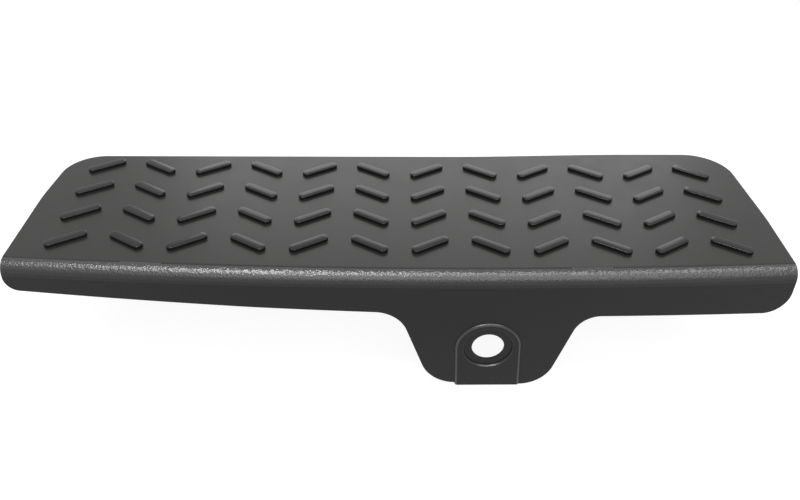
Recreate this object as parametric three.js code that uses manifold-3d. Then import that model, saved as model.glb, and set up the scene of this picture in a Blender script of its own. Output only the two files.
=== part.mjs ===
// Tailgate step: a moulded tread with a rolled front edge, a skirt and a bolt tab,
// and the retainers, bump pads and skirt strips that it carries underneath.
// Millimetres, +Z up. X runs along the step, +Y points back from the skirt.
// The origin is the middle of the step on the plane that the bump pads rest on.

import * as THREE from 'three';
import { mergeVertices } from 'three/addons/utils/BufferGeometryUtils.js';
import Module from 'manifold-3d';

const wasm = await Module();
wasm.setup();

// ---- driving dimensions: the moulding's plan ----
const LENGTH = 319.2;             // end to end
const FRONT_REACH = 44.1;         // from the middle to where the deck turns down, at its foremost
const REAR_REACH_LEFT = 42.6;     // from the middle to the rear edge, at the left end
const REAR_RISE_RIGHT = 8.4;      // how much further back the rear edge lies at the right end
const REAR_KINK_START = 34.5;     // along the step, where the rear edge starts to swing back
const REAR_KINK_END = 99.5;       // along the step, where that swing ends
const REAR_KINK_START_SHARE = 0.405; // how much of that rise is reached there
const REAR_KINK_END_SHARE = 0.857;
const REAR_KINK_RADIUS = 800;
const REAR_CORNER_RADIUS_LEFT = 17.5;
const REAR_CORNER_RADIUS_RIGHT = 19.5;
const END_TAPER = 3.1;            // how far each end draws in towards its rear corner
const END_TAPER_START_LEFT = 6;   // where that taper starts, from the middle
const END_TAPER_START_RIGHT = -6;
const END_TAPER_RADIUS = 120;
const FRONT_ARC_RADIUS = 2263;    // plan radius of the line where the deck turns down
const FRONT_ARC_MIDDLE = -7.7;    // along the step, where that arc lies foremost

// ---- driving dimensions: the moulding's walls ----
const WALL = 3;                   // deck, roll, skirt and tab
const EDGE_RADIUS = 0.6;          // rounding of the deck's end and rear edges
const NOSE_RADIUS = 6;            // outside radius of the rolled front edge
const RIM_DEPTH = 10;             // how far the end and rear walls reach down from the deck
const RIM_WALL = 2.5;
const RIB_DEPTH = 9;              // how far ribs and seats reach down from the deck
const RIB_WALL = 2;
const RIB_PAIRS = 5;              // cross ribs on each side of the middle
const RIB_END_MARGIN = 15.6;      // from the step's ends to the last cross ribs
const LONG_RIB_OFFSET = 22;       // long ribs, in front of and behind the middle

// ---- driving dimensions: the skirt and the tab, depths from the deck ----
const SKIRT_DEPTH_LEFT = 12.95;
const SKIRT_BEND = -60.5;         // along the step, where the skirt's lower edge bends
const SKIRT_BEND_DEPTH = 17.1;
const SKIRT_BEND_RADIUS = 300;
const SKIRT_TAB_DEPTH_LEFT = 18.95;
const SKIRT_TAB_DEPTH_RIGHT = 21.05;
const SKIRT_DEPTH_RIGHT = 21.8;
const SKIRT_CORNER_RADIUS_LEFT = 6;
const SKIRT_CORNER_RADIUS_RIGHT = 10.4;
const TAB_DEPTH_LEFT = 57.4;      // at the left of the tab's foot, which slopes a little
const TAB_DEPTH_RIGHT = 59.3;
const TAB_ROOT_LEFT = 37.4;       // from the bolt hole's line to the tab's root
const TAB_ROOT_RIGHT = 37.6;
const TAB_FOOT_LEFT = 23.6;       // from the bolt hole's line to the tab's foot
const TAB_FOOT_RIGHT = 25.4;
const TAB_FILLET_LEFT = 14;
const TAB_FILLET_RIGHT = 11;
const TAB_CORNER_RADIUS_LEFT = 15.5;
const TAB_CORNER_RADIUS_RIGHT = 14.5;

// ---- driving dimensions: the bolt seat on the tab ----
const BOLT_PLACE = 36.7;          // along the step
const BOLT_DEPTH = 37.1;          // from the deck
const BOLT_HOLE = 13.5;           // clearance for an M12 bolt
const BOSS_WIDTH = 27.8;
const BOSS_ARCH = 12.9;           // from the hole's middle to the top of the seat
const BOSS_HEIGHT = 0.9;
const BOSS_FOOT_DEPTH = 58.3;     // from the deck to the seat's straight lower edge
const BOSS_LEAN = THREE.MathUtils.degToRad(2.6); // its foot swings to the right
const BOSS_SLOPE_RISE = 0.85;     // the seat's sides round up from the tab
const BOSS_SLOPE_RUN = 1.1;
const COUNTERBORE = 20.1;         // across its floor
const COUNTERBORE_DEPTH = 0.9;
const COUNTERBORE_FLARE = 0.4;    // how much wider its radius is at its mouth
const BOLT_WEB = 1;               // thickness left round the bolt hole
const BACK_LAND_WIDTH = 36;       // flat land on the back of the tab
const BACK_LAND_HEIGHT = 36;
const BACK_LAND_PROUD = 0.6;
const BACK_RECESS = 24;           // round recess in that land, down to the web

// ---- driving dimensions: the tread bars ----
const BAR_MIDDLE_X = -0.5;        // the middle of the bar pattern
const BAR_MIDDLE_Y = 0.55;
const BAR_PITCH_X = 25;
const BAR_PITCH_Y = 20;
const BAR_END_MARGIN = 9;         // least room between the pattern and the step's end
const BAR_EDGE_MARGIN = 2;        // least room between the pattern and the front or rear edge
const BAR_LENGTH = 17.4;
const BAR_WIDTH = 4.3;
const BAR_HEIGHT = 1.5;
const BAR_BEVEL = 0.35;           // round the bar's top
const BAR_ANGLE = THREE.MathUtils.degToRad(33);
const BAR_ROW_RADIUS = 6000;      // the rows follow the front arc, but much flatter

// ---- driving dimensions: what the moulding carries ----
const CLEARANCE = 0.3;            // between pieces, and the glue line under pads and strips
const PAD_LENGTH = 18;
const PAD_WIDTH = 14;
const PAD_HEIGHT = 1.7;
const PAD_CORNER_RADIUS = 2;
const PAD_SEAT_WALL = 2;
const STRIP_LENGTH = 70;
const STRIP_HEIGHT = 4;
const STRIP_THICKNESS = 2;
const STRIP_EDGE_MARGIN = 0.9;    // least room between a strip and the skirt's lower edge
const STRIP_INSET_LEFT = 42.1;    // from the step's left end to the left strip
const STRIP_INSET_RIGHT = 7.1;    // from the step's right end to the right strip

const HEAD_DIAMETER = 13;         // retainer: the disc that sits in the socket
const HEAD_THICKNESS = 1.6;
const NECK_DIAMETER = 5;
const COLLAR_DIAMETER = 13;       // retainer: the disc under the socket
const COLLAR_THICKNESS = 0.9;
const STEM_DIAMETER = 4.4;
const STEM_LENGTH = 15;
const FIN_DIAMETER = 8;
const FIN_COUNT = 5;
const FIN_EDGE = 0.35;
const TIP_DIAMETER = 2;
const SOCKET_PLATE = 2;           // thickness of the slotted plate
const SOCKET_WALL = 2;
const SOCKET_PLAY = 0.5;          // sideways room for the head

// ---- drawing steps ----
const ARC_STEP = THREE.MathUtils.degToRad(13);
const MIN_ARC_STEPS = 3;
const FRONT_STEPS = 16;
const NOSE_STEPS = 8;
const ROUND_STEPS = 24;
const RETAINER_STEPS = 12;
const BAR_END_STEPS = 4;
const EDGE_STEPS = 2;
const STRIP_STEPS = 4;
const WELD = 1e-4;                // corners closer than this are one

// ---- places that follow from the dimensions ----
const DECK_TOP = RIB_DEPTH + CLEARANCE + PAD_HEIGHT;
const LEFT = -LENGTH / 2;
const RIGHT = LENGTH / 2;
const RIB_BOTTOM = DECK_TOP - RIB_DEPTH;
const DECK_UNDERSIDE = DECK_TOP - WALL;
const OVERLAP = 0.5;              // how far joined shapes run into each other
const REACH = 40;                 // how far cutting shapes run past the moulding
const LAP = 12;                   // how far the swept front runs back under the deck
const DECK_FRONT = -FRONT_REACH + LAP - WALL;
const TAB_DEPTH = Math.max(TAB_DEPTH_LEFT, TAB_DEPTH_RIGHT);
const CUT_BOTTOM = DECK_TOP - TAB_DEPTH - REACH;

// The cross ribs are spread evenly, and the step's middle lies between two of them.
const LAST_RIB = LENGTH / 2 - RIB_END_MARGIN;
const RIB_PITCH = LAST_RIB / (RIB_PAIRS - 0.5);

// Retainers stand midway between cross ribs, clear of the bump pads on the long ribs,
// and their sockets open towards the middle of the step.
const SOCKET_OFFSET = LONG_RIB_OFFSET - PAD_WIDTH / 2 - COLLAR_DIAMETER / 2 - CLEARANCE;
const FRONT_COLUMN = (RIB_PAIRS - 1) * RIB_PITCH;
const REAR_FAR_COLUMN = (RIB_PAIRS - 2) * RIB_PITCH;
const REAR_NEAR_COLUMN = RIB_PITCH;
const RETAINERS = [
  { name: 'retainer_front_left', x: -FRONT_COLUMN, y: -SOCKET_OFFSET },
  { name: 'retainer_front_right', x: FRONT_COLUMN, y: -SOCKET_OFFSET },
  { name: 'retainer_rear_far_left', x: -REAR_FAR_COLUMN, y: SOCKET_OFFSET },
  { name: 'retainer_rear_left', x: -REAR_NEAR_COLUMN, y: SOCKET_OFFSET },
  { name: 'retainer_rear_right', x: REAR_NEAR_COLUMN, y: SOCKET_OFFSET },
  { name: 'retainer_rear_far_right', x: REAR_FAR_COLUMN, y: SOCKET_OFFSET },
];

// Bump pads sit at the corners of the rib grid and across its middle.
const BUMP_PADS = [
  { name: 'bump_pad_front_left', x: -LAST_RIB, y: -LONG_RIB_OFFSET },
  { name: 'bump_pad_front_middle', x: 0, y: -LONG_RIB_OFFSET },
  { name: 'bump_pad_front_right', x: LAST_RIB, y: -LONG_RIB_OFFSET },
  { name: 'bump_pad_centre', x: 0, y: 0 },
  { name: 'bump_pad_rear_left', x: -LAST_RIB, y: LONG_RIB_OFFSET },
  { name: 'bump_pad_rear_middle', x: 0, y: LONG_RIB_OFFSET },
  { name: 'bump_pad_rear_right', x: LAST_RIB, y: LONG_RIB_OFFSET },
];

// Strips lie behind the skirt on both sides of the tab, from their left end to their right.
const SKIRT_STRIPS = [
  { name: 'skirt_strip_left', x0: LEFT + STRIP_INSET_LEFT, x1: LEFT + STRIP_INSET_LEFT + STRIP_LENGTH },
  { name: 'skirt_strip_right', x0: RIGHT - STRIP_INSET_RIGHT - STRIP_LENGTH, x1: RIGHT - STRIP_INSET_RIGHT },
];

// ---- solids ----

// A closed geometry as a solid that can be joined and cut.
function toSolid(geometry) {
  const bare = geometry.index ? geometry.toNonIndexed() : geometry.clone();
  bare.deleteAttribute('normal');
  bare.deleteAttribute('uv');
  const merged = mergeVertices(bare, WELD);
  return new wasm.Manifold(new wasm.Mesh({
    numProp: 3,
    vertProperties: Float32Array.from(merged.attributes.position.array),
    triVerts: Uint32Array.from(merged.index.array),
  }));
}

// The solid's surface as a geometry.
function toGeometry(body) {
  const mesh = body.getMesh();
  const geometry = new THREE.BufferGeometry();
  geometry.setAttribute('position', new THREE.BufferAttribute(mesh.vertProperties, 3));
  geometry.setIndex(new THREE.BufferAttribute(mesh.triVerts, 1));
  geometry.computeVertexNormals();
  return geometry;
}

function joined(solids) {
  return solids.reduce((sum, next) => sum.add(next));
}

// A block between two corners.
function block(x0, x1, y0, y1, z0, z1) {
  const geometry = new THREE.BoxGeometry(x1 - x0, y1 - y0, z1 - z0);
  geometry.translate((x0 + x1) / 2, (y0 + y1) / 2, (z0 + z1) / 2);
  return geometry;
}

// ---- outlines ----

// Points along an outline whose corners { x, y, r } are rounded by their own radius.
function roundedPoints(corners) {
  const points = [];
  corners.forEach((corner, i) => {
    const here = new THREE.Vector2(corner.x, corner.y);
    const before = corners[(i + corners.length - 1) % corners.length];
    const after = corners[(i + 1) % corners.length];
    const arriving = here.clone().sub(new THREE.Vector2(before.x, before.y)).normalize();
    const leaving = new THREE.Vector2(after.x, after.y).sub(here).normalize();
    const turn = Math.atan2(arriving.cross(leaving), arriving.dot(leaving));
    if (!corner.r) {
      points.push(here);
      return;
    }
    const setback = corner.r * Math.tan(Math.abs(turn) / 2);
    const start = here.clone().addScaledVector(arriving, -setback);
    const side = new THREE.Vector2(-arriving.y, arriving.x).multiplyScalar(Math.sign(turn));
    const centre = start.clone().addScaledVector(side, corner.r);
    const steps = Math.max(MIN_ARC_STEPS, Math.ceil(Math.abs(turn) / ARC_STEP));
    for (let k = 0; k <= steps; k += 1) {
      points.push(start.clone().rotateAround(centre, turn * k / steps));
    }
  });
  return points;
}

// The same corners, moved inwards by a wall, for an outline that runs anticlockwise.
function insetCorners(corners, wall) {
  const edges = corners.map((corner, i) => {
    const next = corners[(i + 1) % corners.length];
    const along = new THREE.Vector2(next.x - corner.x, next.y - corner.y).normalize();
    const inward = new THREE.Vector2(-along.y, along.x);
    return { at: new THREE.Vector2(corner.x, corner.y).addScaledVector(inward, wall), along };
  });
  return corners.map((corner, i) => {
    const edge = edges[i];
    const before = edges[(i + edges.length - 1) % edges.length];
    const apart = edge.at.clone().sub(before.at);
    const travel = apart.cross(edge.along) / before.along.cross(edge.along);
    const place = before.at.clone().addScaledVector(before.along, travel);
    const bend = Math.sign(before.along.cross(edge.along));
    const radius = corner.r ? Math.max(corner.r - bend * wall, OVERLAP) : 0;
    return { x: place.x, y: place.y, r: radius };
  });
}

// An outline in plan, as a plate between two heights.
function plate(points, z0, z1) {
  const shape = new THREE.Shape(points);
  const geometry = new THREE.ExtrudeGeometry(shape, { depth: z1 - z0, bevelEnabled: false });
  geometry.translate(0, 0, z0);
  return geometry;
}

// ---- the front arc ----

// The line where the deck turns down into the nose: an arc of large radius in plan.
class FrontArc extends THREE.Curve {
  constructor(x0, x1) {
    super();
    this.x0 = x0;
    this.x1 = x1;
  }

  getPoint(t, target = new THREE.Vector3()) {
    const x = THREE.MathUtils.lerp(this.x0, this.x1, t);
    return target.set(x, frontArcY(x), DECK_TOP);
  }
}

function frontArcY(x) {
  const across = x - FRONT_ARC_MIDDLE;
  return FRONT_ARC_RADIUS - FRONT_REACH - Math.sqrt(FRONT_ARC_RADIUS ** 2 - across ** 2);
}

// The plan angle of the front arc at a place along the step.
function frontArcAngle(x) {
  return Math.asin((x - FRONT_ARC_MIDDLE) / FRONT_ARC_RADIUS);
}

// A section swept along the front arc. Its points are { out, down } from the arc:
// out towards the viewer of the skirt, down from the deck.
function sweepFront(section, x0, x1, steps) {
  const shape = new THREE.Shape(section.map(({ out, down }) => new THREE.Vector2(down, -out)));
  const extrudePath = new FrontArc(x0, x1);
  return new THREE.ExtrudeGeometry(shape, { extrudePath, steps, bevelEnabled: false });
}

// The section of the front, filled: from the lap under the deck, round the nose, down the skirt.
function frontSection(wall, top, bottom) {
  const radius = NOSE_RADIUS - wall;
  const points = [{ out: -LAP, down: top }];
  for (let k = 0; k <= NOSE_STEPS; k += 1) {
    const angle = Math.PI / 2 * k / NOSE_STEPS;
    points.push({ out: radius * Math.sin(angle), down: NOSE_RADIUS - radius * Math.cos(angle) });
  }
  points.push({ out: radius, down: bottom });
  points.push({ out: -LAP, down: bottom });
  return points;
}

// ---- the moulding ----

// The deck's outline in plan, with its front edge at a given place.
function deckCorners(front) {
  const rearRight = REAR_REACH_LEFT + REAR_RISE_RIGHT;
  const kinkStart = REAR_REACH_LEFT + REAR_RISE_RIGHT * REAR_KINK_START_SHARE;
  const kinkEnd = REAR_REACH_LEFT + REAR_RISE_RIGHT * REAR_KINK_END_SHARE;
  return [
    { x: LEFT, y: front, r: 0 },
    { x: RIGHT, y: front, r: 0 },
    { x: RIGHT, y: END_TAPER_START_RIGHT, r: END_TAPER_RADIUS },
    { x: RIGHT - END_TAPER, y: rearRight, r: REAR_CORNER_RADIUS_RIGHT },
    { x: REAR_KINK_END, y: kinkEnd, r: REAR_KINK_RADIUS },
    { x: REAR_KINK_START, y: kinkStart, r: REAR_KINK_RADIUS },
    { x: LEFT + END_TAPER, y: REAR_REACH_LEFT, r: REAR_CORNER_RADIUS_LEFT },
    { x: LEFT, y: END_TAPER_START_LEFT, r: END_TAPER_RADIUS },
  ];
}

// The skirt and tab as they are seen from the front, up to past the deck.
function skirtCorners() {
  return [
    { x: LEFT, y: DECK_TOP - SKIRT_DEPTH_LEFT, r: SKIRT_CORNER_RADIUS_LEFT },
    { x: SKIRT_BEND, y: DECK_TOP - SKIRT_BEND_DEPTH, r: SKIRT_BEND_RADIUS },
    { x: BOLT_PLACE - TAB_ROOT_LEFT, y: DECK_TOP - SKIRT_TAB_DEPTH_LEFT, r: TAB_FILLET_LEFT },
    { x: BOLT_PLACE - TAB_FOOT_LEFT, y: DECK_TOP - TAB_DEPTH_LEFT, r: TAB_CORNER_RADIUS_LEFT },
    { x: BOLT_PLACE + TAB_FOOT_RIGHT, y: DECK_TOP - TAB_DEPTH_RIGHT, r: TAB_CORNER_RADIUS_RIGHT },
    { x: BOLT_PLACE + TAB_ROOT_RIGHT, y: DECK_TOP - SKIRT_TAB_DEPTH_RIGHT, r: TAB_FILLET_RIGHT },
    { x: RIGHT, y: DECK_TOP - SKIRT_DEPTH_RIGHT, r: SKIRT_CORNER_RADIUS_RIGHT },
    { x: RIGHT, y: DECK_TOP + REACH, r: 0 },
    { x: LEFT, y: DECK_TOP + REACH, r: 0 },
  ];
}

// The front silhouette as a block that runs through the whole step.
function skirtSilhouette() {
  const geometry = new THREE.ExtrudeGeometry(new THREE.Shape(roundedPoints(skirtCorners())), {
    depth: 2 * (FRONT_REACH + REACH),
    bevelEnabled: false,
  });
  geometry.rotateX(Math.PI / 2);
  geometry.translate(0, FRONT_REACH + REACH, 0);
  return toSolid(geometry);
}

// The front as if it were solid: deck, roll, skirt and tab without their hollow.
function solidFront(silhouette) {
  const section = frontSection(0, 0, TAB_DEPTH + OVERLAP);
  return toSolid(sweepFront(section, LEFT - OVERLAP, RIGHT + OVERLAP, FRONT_STEPS)).intersect(silhouette);
}

// The hollow behind the skirt. Between the ends it reaches up to the deck's underside,
// and under the end walls it runs right through.
function frontHollow() {
  const past = { out: -LAP - OVERLAP };
  const section = frontSection(WALL, WALL, TAB_DEPTH + REACH);
  section[0] = { ...past, down: WALL };
  section[section.length - 1] = { ...past, down: TAB_DEPTH + REACH };
  const swept = toSolid(sweepFront(section, LEFT - REACH, RIGHT + REACH, FRONT_STEPS));
  const front = -FRONT_REACH - REACH;
  const between = block(LEFT + RIM_WALL, RIGHT - RIM_WALL, front, 0, CUT_BOTTOM, DECK_TOP);
  const below = block(LEFT - REACH, RIGHT + REACH, front, 0, CUT_BOTTOM, DECK_TOP - RIM_DEPTH);
  return swept.intersect(joined([toSolid(between), toSolid(below)]));
}

// The moulding's whole plan as a block, with its upper edges rounded at the ends and the rear.
function roundedPlan() {
  const inside = insetCorners(deckCorners(-FRONT_REACH - REACH), EDGE_RADIUS);
  const geometry = new THREE.ExtrudeGeometry(new THREE.Shape(roundedPoints(inside)), {
    depth: DECK_TOP - EDGE_RADIUS - CUT_BOTTOM,
    bevelEnabled: true,
    bevelThickness: EDGE_RADIUS,
    bevelSize: EDGE_RADIUS,
    bevelSegments: EDGE_STEPS,
  });
  geometry.translate(0, 0, CUT_BOTTOM);
  return toSolid(geometry);
}

// The deck as if it were solid, down to the foot of its end and rear walls.
function solidDeck(silhouette) {
  const outline = roundedPoints(deckCorners(DECK_FRONT));
  return toSolid(plate(outline, DECK_TOP - RIM_DEPTH, DECK_TOP)).intersect(silhouette);
}

// The deck plate with its end and rear walls, hollowed out of the solid deck.
function deckWithRim(deck) {
  const insidePoints = roundedPoints(insetCorners(deckCorners(DECK_FRONT - REACH), RIM_WALL));
  const inside = toSolid(plate(insidePoints, DECK_TOP - RIM_DEPTH - OVERLAP, DECK_UNDERSIDE));
  return deck.subtract(inside);
}

// The ribs under the deck, trimmed to the moulding's outside.
function ribs(outside) {
  const low = RIB_BOTTOM;
  const high = DECK_UNDERSIDE + OVERLAP;
  const half = RIB_WALL / 2;
  const past = FRONT_REACH + REACH;
  const solids = [];
  for (let k = -RIB_PAIRS; k < RIB_PAIRS; k += 1) {
    const x = (k + 0.5) * RIB_PITCH;
    solids.push(toSolid(block(x - half, x + half, -past, past, low, high)));
  }
  for (const y of [-LONG_RIB_OFFSET, LONG_RIB_OFFSET]) {
    solids.push(toSolid(block(LEFT, RIGHT, y - half, y + half, low, high)));
  }
  return joined(solids).intersect(outside);
}

// A box of thin walls under the deck, on whose rim a bump pad is glued.
function padSeat({ x, y }) {
  const a = PAD_LENGTH / 2;
  const b = PAD_WIDTH / 2;
  const high = DECK_UNDERSIDE + OVERLAP;
  const outer = toSolid(block(x - a, x + a, y - b, y + b, RIB_BOTTOM, high));
  const c = a - PAD_SEAT_WALL;
  const d = b - PAD_SEAT_WALL;
  return outer.subtract(toSolid(block(x - c, x + c, y - d, y + d, RIB_BOTTOM - OVERLAP, high + OVERLAP)));
}

// The short ribs that tie the middle pad seat to its neighbours.
function middleTie() {
  const half = RIB_WALL / 2;
  const high = DECK_UNDERSIDE + OVERLAP;
  const along = block(-RIB_PITCH / 2, RIB_PITCH / 2, -half, half, RIB_BOTTOM, high);
  const across = block(-half, half, -LONG_RIB_OFFSET, LONG_RIB_OFFSET, RIB_BOTTOM, high);
  return toSolid(along).add(toSolid(across));
}

// A retainer socket: a small box under the deck with a slotted floor, open to one side.
// It is drawn with its mouth towards +Y and turned about where the mouth lies elsewhere.
function socket({ x, y }) {
  const inner = HEAD_DIAMETER / 2 + SOCKET_PLAY;
  const outer = inner + SOCKET_WALL;
  const floorTop = RIB_BOTTOM + SOCKET_PLATE;
  const past = inner + OVERLAP;
  const slotHalf = NECK_DIAMETER / 2 + CLEARANCE;
  const low = RIB_BOTTOM - OVERLAP;
  const body = block(-outer, outer, -outer, inner, RIB_BOTTOM, DECK_UNDERSIDE + OVERLAP);
  const room = block(-inner, inner, -inner, past, floorTop, DECK_UNDERSIDE);
  const slot = block(-slotHalf, slotHalf, 0, past, low, floorTop + OVERLAP);
  const slotEnd = new THREE.CylinderGeometry(slotHalf, slotHalf, SOCKET_PLATE + 2 * OVERLAP, ROUND_STEPS);
  slotEnd.rotateX(Math.PI / 2);
  slotEnd.translate(0, 0, RIB_BOTTOM + SOCKET_PLATE / 2);
  const solids = [body, room, slot, slotEnd].map((geometry) => {
    geometry.rotateZ(y > 0 ? Math.PI : 0);
    geometry.translate(x, y, 0);
    return toSolid(geometry);
  });
  return solids.reduce((left, cut) => left.subtract(cut));
}

// The space inside a socket and before its mouth, which no rib may cross.
function socketRoom({ x, y }) {
  const reach = HEAD_DIAMETER / 2 + SOCKET_PLAY;
  return toSolid(block(x - reach, x + reach, y - reach, y + reach, RIB_BOTTOM - OVERLAP, DECK_UNDERSIDE));
}

// One tread bar: a round-ended bar with a small bevel round its top, sunk into the deck.
function bar(x, y, angle) {
  const radius = BAR_WIDTH / 2 - BAR_BEVEL;
  const reach = BAR_LENGTH / 2 - BAR_WIDTH / 2;
  const points = [];
  for (const end of [0, Math.PI]) {
    for (let k = 0; k <= BAR_END_STEPS; k += 1) {
      const turn = end - Math.PI / 2 + Math.PI * k / BAR_END_STEPS;
      const centre = end === 0 ? reach : -reach;
      points.push(new THREE.Vector2(centre + radius * Math.cos(turn), radius * Math.sin(turn)));
    }
  }
  const geometry = new THREE.ExtrudeGeometry(new THREE.Shape(points), {
    depth: BAR_HEIGHT - BAR_BEVEL + OVERLAP,
    bevelEnabled: true,
    bevelThickness: BAR_BEVEL,
    bevelSize: BAR_BEVEL,
    bevelSegments: 1,
  });
  geometry.rotateZ(angle);
  geometry.translate(x, y, DECK_TOP - OVERLAP);
  return toSolid(geometry);
}

// All tread bars: columns lean left and right in turn, and the rows bow a little.
function treadBars() {
  const shortSide = LENGTH / 2 - Math.abs(BAR_MIDDLE_X);
  const columnPairs = Math.floor((shortSide - BAR_END_MARGIN) / BAR_PITCH_X);
  const frontRows = Math.floor((FRONT_REACH + BAR_MIDDLE_Y - BAR_EDGE_MARGIN) / BAR_PITCH_Y);
  const rearRows = Math.floor((REAR_REACH_LEFT - BAR_MIDDLE_Y - BAR_EDGE_MARGIN) / BAR_PITCH_Y);
  const solids = [];
  for (let row = -frontRows; row < rearRows; row += 1) {
    for (let column = -columnPairs; column < columnPairs; column += 1) {
      const across = (column + 0.5) * BAR_PITCH_X;
      const y = BAR_MIDDLE_Y + (row + 0.5) * BAR_PITCH_Y + across ** 2 / (2 * BAR_ROW_RADIUS);
      solids.push(bar(BAR_MIDDLE_X + across, y, column % 2 === 0 ? BAR_ANGLE : -BAR_ANGLE));
    }
  }
  return joined(solids);
}

// Moves a shape drawn in the tab's own frame to the bolt hole. In that frame X runs along
// the skirt, Y points back from its face, and Z is up from the hole's middle.
function onTab(geometry) {
  geometry.translate(0, -NOSE_RADIUS, 0);
  geometry.rotateZ(frontArcAngle(BOLT_PLACE));
  geometry.translate(BOLT_PLACE, frontArcY(BOLT_PLACE), DECK_TOP - BOLT_DEPTH);
  return toSolid(geometry);
}

// A cylinder through the tab, from one distance out of its face to another, whose radius
// grows by a flare on the way out.
function tabCylinder(diameter, from, to, flare = 0) {
  const geometry = new THREE.CylinderGeometry(diameter / 2, diameter / 2 + flare, to - from, ROUND_STEPS);
  geometry.translate(0, -(from + to) / 2, 0);
  return onTab(geometry);
}

// The raised seat round the bolt hole: arched above, and straight down to the tab's foot.
function boss(silhouette) {
  const radius = BOSS_WIDTH / 2 - BOSS_SLOPE_RUN;
  const arch = BOSS_ARCH - BOSS_SLOPE_RUN;
  const foot = -(TAB_DEPTH - BOLT_DEPTH) - REACH;
  const shape = new THREE.Shape([new THREE.Vector2(-radius, foot), new THREE.Vector2(radius, foot)]);
  for (let k = 0; k <= ROUND_STEPS / 2; k += 1) {
    const turn = Math.PI * k / (ROUND_STEPS / 2);
    shape.lineTo(radius * Math.cos(turn), arch * Math.sin(turn));
  }
  shape.closePath();
  const depth = BOSS_HEIGHT - BOSS_SLOPE_RISE + WALL / 2;
  const geometry = new THREE.ExtrudeGeometry(shape, {
    depth,
    bevelEnabled: true,
    bevelThickness: BOSS_SLOPE_RISE,
    bevelSize: BOSS_SLOPE_RUN,
    bevelSegments: EDGE_STEPS,
  });
  geometry.translate(0, 0, -WALL / 2);
  geometry.rotateX(Math.PI / 2);
  geometry.rotateY(-BOSS_LEAN);
  return onTab(geometry).trimByPlane([0, 0, 1], DECK_TOP - BOSS_FOOT_DEPTH).intersect(silhouette);
}

// The flat land on the back of the tab, where the bolt pulls it against its carrier.
function backLand() {
  const half = BACK_LAND_WIDTH / 2;
  const foot = Math.min(TAB_DEPTH_LEFT, TAB_DEPTH_RIGHT);
  const low = -Math.min(BACK_LAND_HEIGHT / 2, foot - BOLT_DEPTH - OVERLAP);
  const high = BACK_LAND_HEIGHT / 2;
  return onTab(block(-half, half, WALL / 2, WALL + BACK_LAND_PROUD, low, high));
}

function stepMoulding() {
  const silhouette = skirtSilhouette();
  const front = solidFront(silhouette);
  const deck = solidDeck(silhouette);
  const plan = roundedPlan();
  const outside = front.add(deck).intersect(plan);
  const shell = front.subtract(frontHollow()).add(deckWithRim(deck)).intersect(plan);
  const under = joined([ribs(outside), middleTie(), ...BUMP_PADS.map(padSeat)]);
  const seatFloor = BOSS_HEIGHT - COUNTERBORE_DEPTH;
  const proud = BOSS_HEIGHT + OVERLAP;
  const flare = COUNTERBORE_FLARE * (proud - seatFloor) / COUNTERBORE_DEPTH;
  const behind = -WALL - BACK_LAND_PROUD - OVERLAP;
  return shell
    .add(under)
    .subtract(joined(RETAINERS.map(socketRoom)))
    .add(joined(RETAINERS.map(socket)))
    .add(treadBars())
    .add(boss(silhouette))
    .add(backLand())
    .subtract(tabCylinder(COUNTERBORE, seatFloor, proud, flare))
    .subtract(tabCylinder(BACK_RECESS, behind, seatFloor - BOLT_WEB))
    .subtract(tabCylinder(BOLT_HOLE, behind, proud));
}

// ---- what the moulding carries ----

// A push-in retainer: head, neck, collar and a stem with fins, down to a blunt tip.
function retainer({ x, y }) {
  const headLow = RIB_BOTTOM + SOCKET_PLATE + CLEARANCE;
  const collarTop = RIB_BOTTOM - CLEARANCE;
  const stemTop = collarTop - COLLAR_THICKNESS;
  const tip = stemTop - STEM_LENGTH;
  const finPitch = STEM_LENGTH / (FIN_COUNT + 1);
  const points = [
    [0, headLow + HEAD_THICKNESS],
    [HEAD_DIAMETER / 2, headLow + HEAD_THICKNESS],
    [HEAD_DIAMETER / 2, headLow],
    [NECK_DIAMETER / 2, headLow],
    [NECK_DIAMETER / 2, collarTop],
    [COLLAR_DIAMETER / 2, collarTop],
    [COLLAR_DIAMETER / 2, collarTop - COLLAR_THICKNESS / 2],
    [STEM_DIAMETER / 2, stemTop],
  ];
  for (let k = 1; k <= FIN_COUNT; k += 1) {
    const finTop = stemTop - k * finPitch + finPitch / 2;
    points.push([FIN_DIAMETER / 2, finTop]);
    points.push([FIN_DIAMETER / 2, finTop - FIN_EDGE]);
    points.push([STEM_DIAMETER / 2, finTop - finPitch + FIN_EDGE]);
  }
  points.push([TIP_DIAMETER / 2, tip]);
  points.push([0, tip]);
  const profile = points.map(([r, z]) => new THREE.Vector2(r, z)).reverse();
  const geometry = new THREE.LatheGeometry(profile, RETAINER_STEPS);
  geometry.rotateX(Math.PI / 2);
  geometry.translate(x, y, 0);
  return geometry;
}

// A rubber bump pad, glued under its seat. Its lower face is the plane that the step rests on.
function bumpPad({ x, y }) {
  const a = PAD_LENGTH / 2;
  const b = PAD_WIDTH / 2;
  const r = PAD_CORNER_RADIUS;
  const corners = [
    { x: x - a, y: y - b, r },
    { x: x + a, y: y - b, r },
    { x: x + a, y: y + b, r },
    { x: x - a, y: y + b, r },
  ];
  return plate(roundedPoints(corners), 0, PAD_HEIGHT);
}

// How deep the skirt reaches at a place to the left of the tab, or to the right of it.
function skirtDepth(x) {
  if (x > BOLT_PLACE) {
    return Math.min(SKIRT_TAB_DEPTH_RIGHT, SKIRT_DEPTH_RIGHT);
  }
  const share = THREE.MathUtils.inverseLerp(LEFT, SKIRT_BEND, Math.min(x, SKIRT_BEND));
  return THREE.MathUtils.lerp(SKIRT_DEPTH_LEFT, SKIRT_BEND_DEPTH, share);
}

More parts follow.
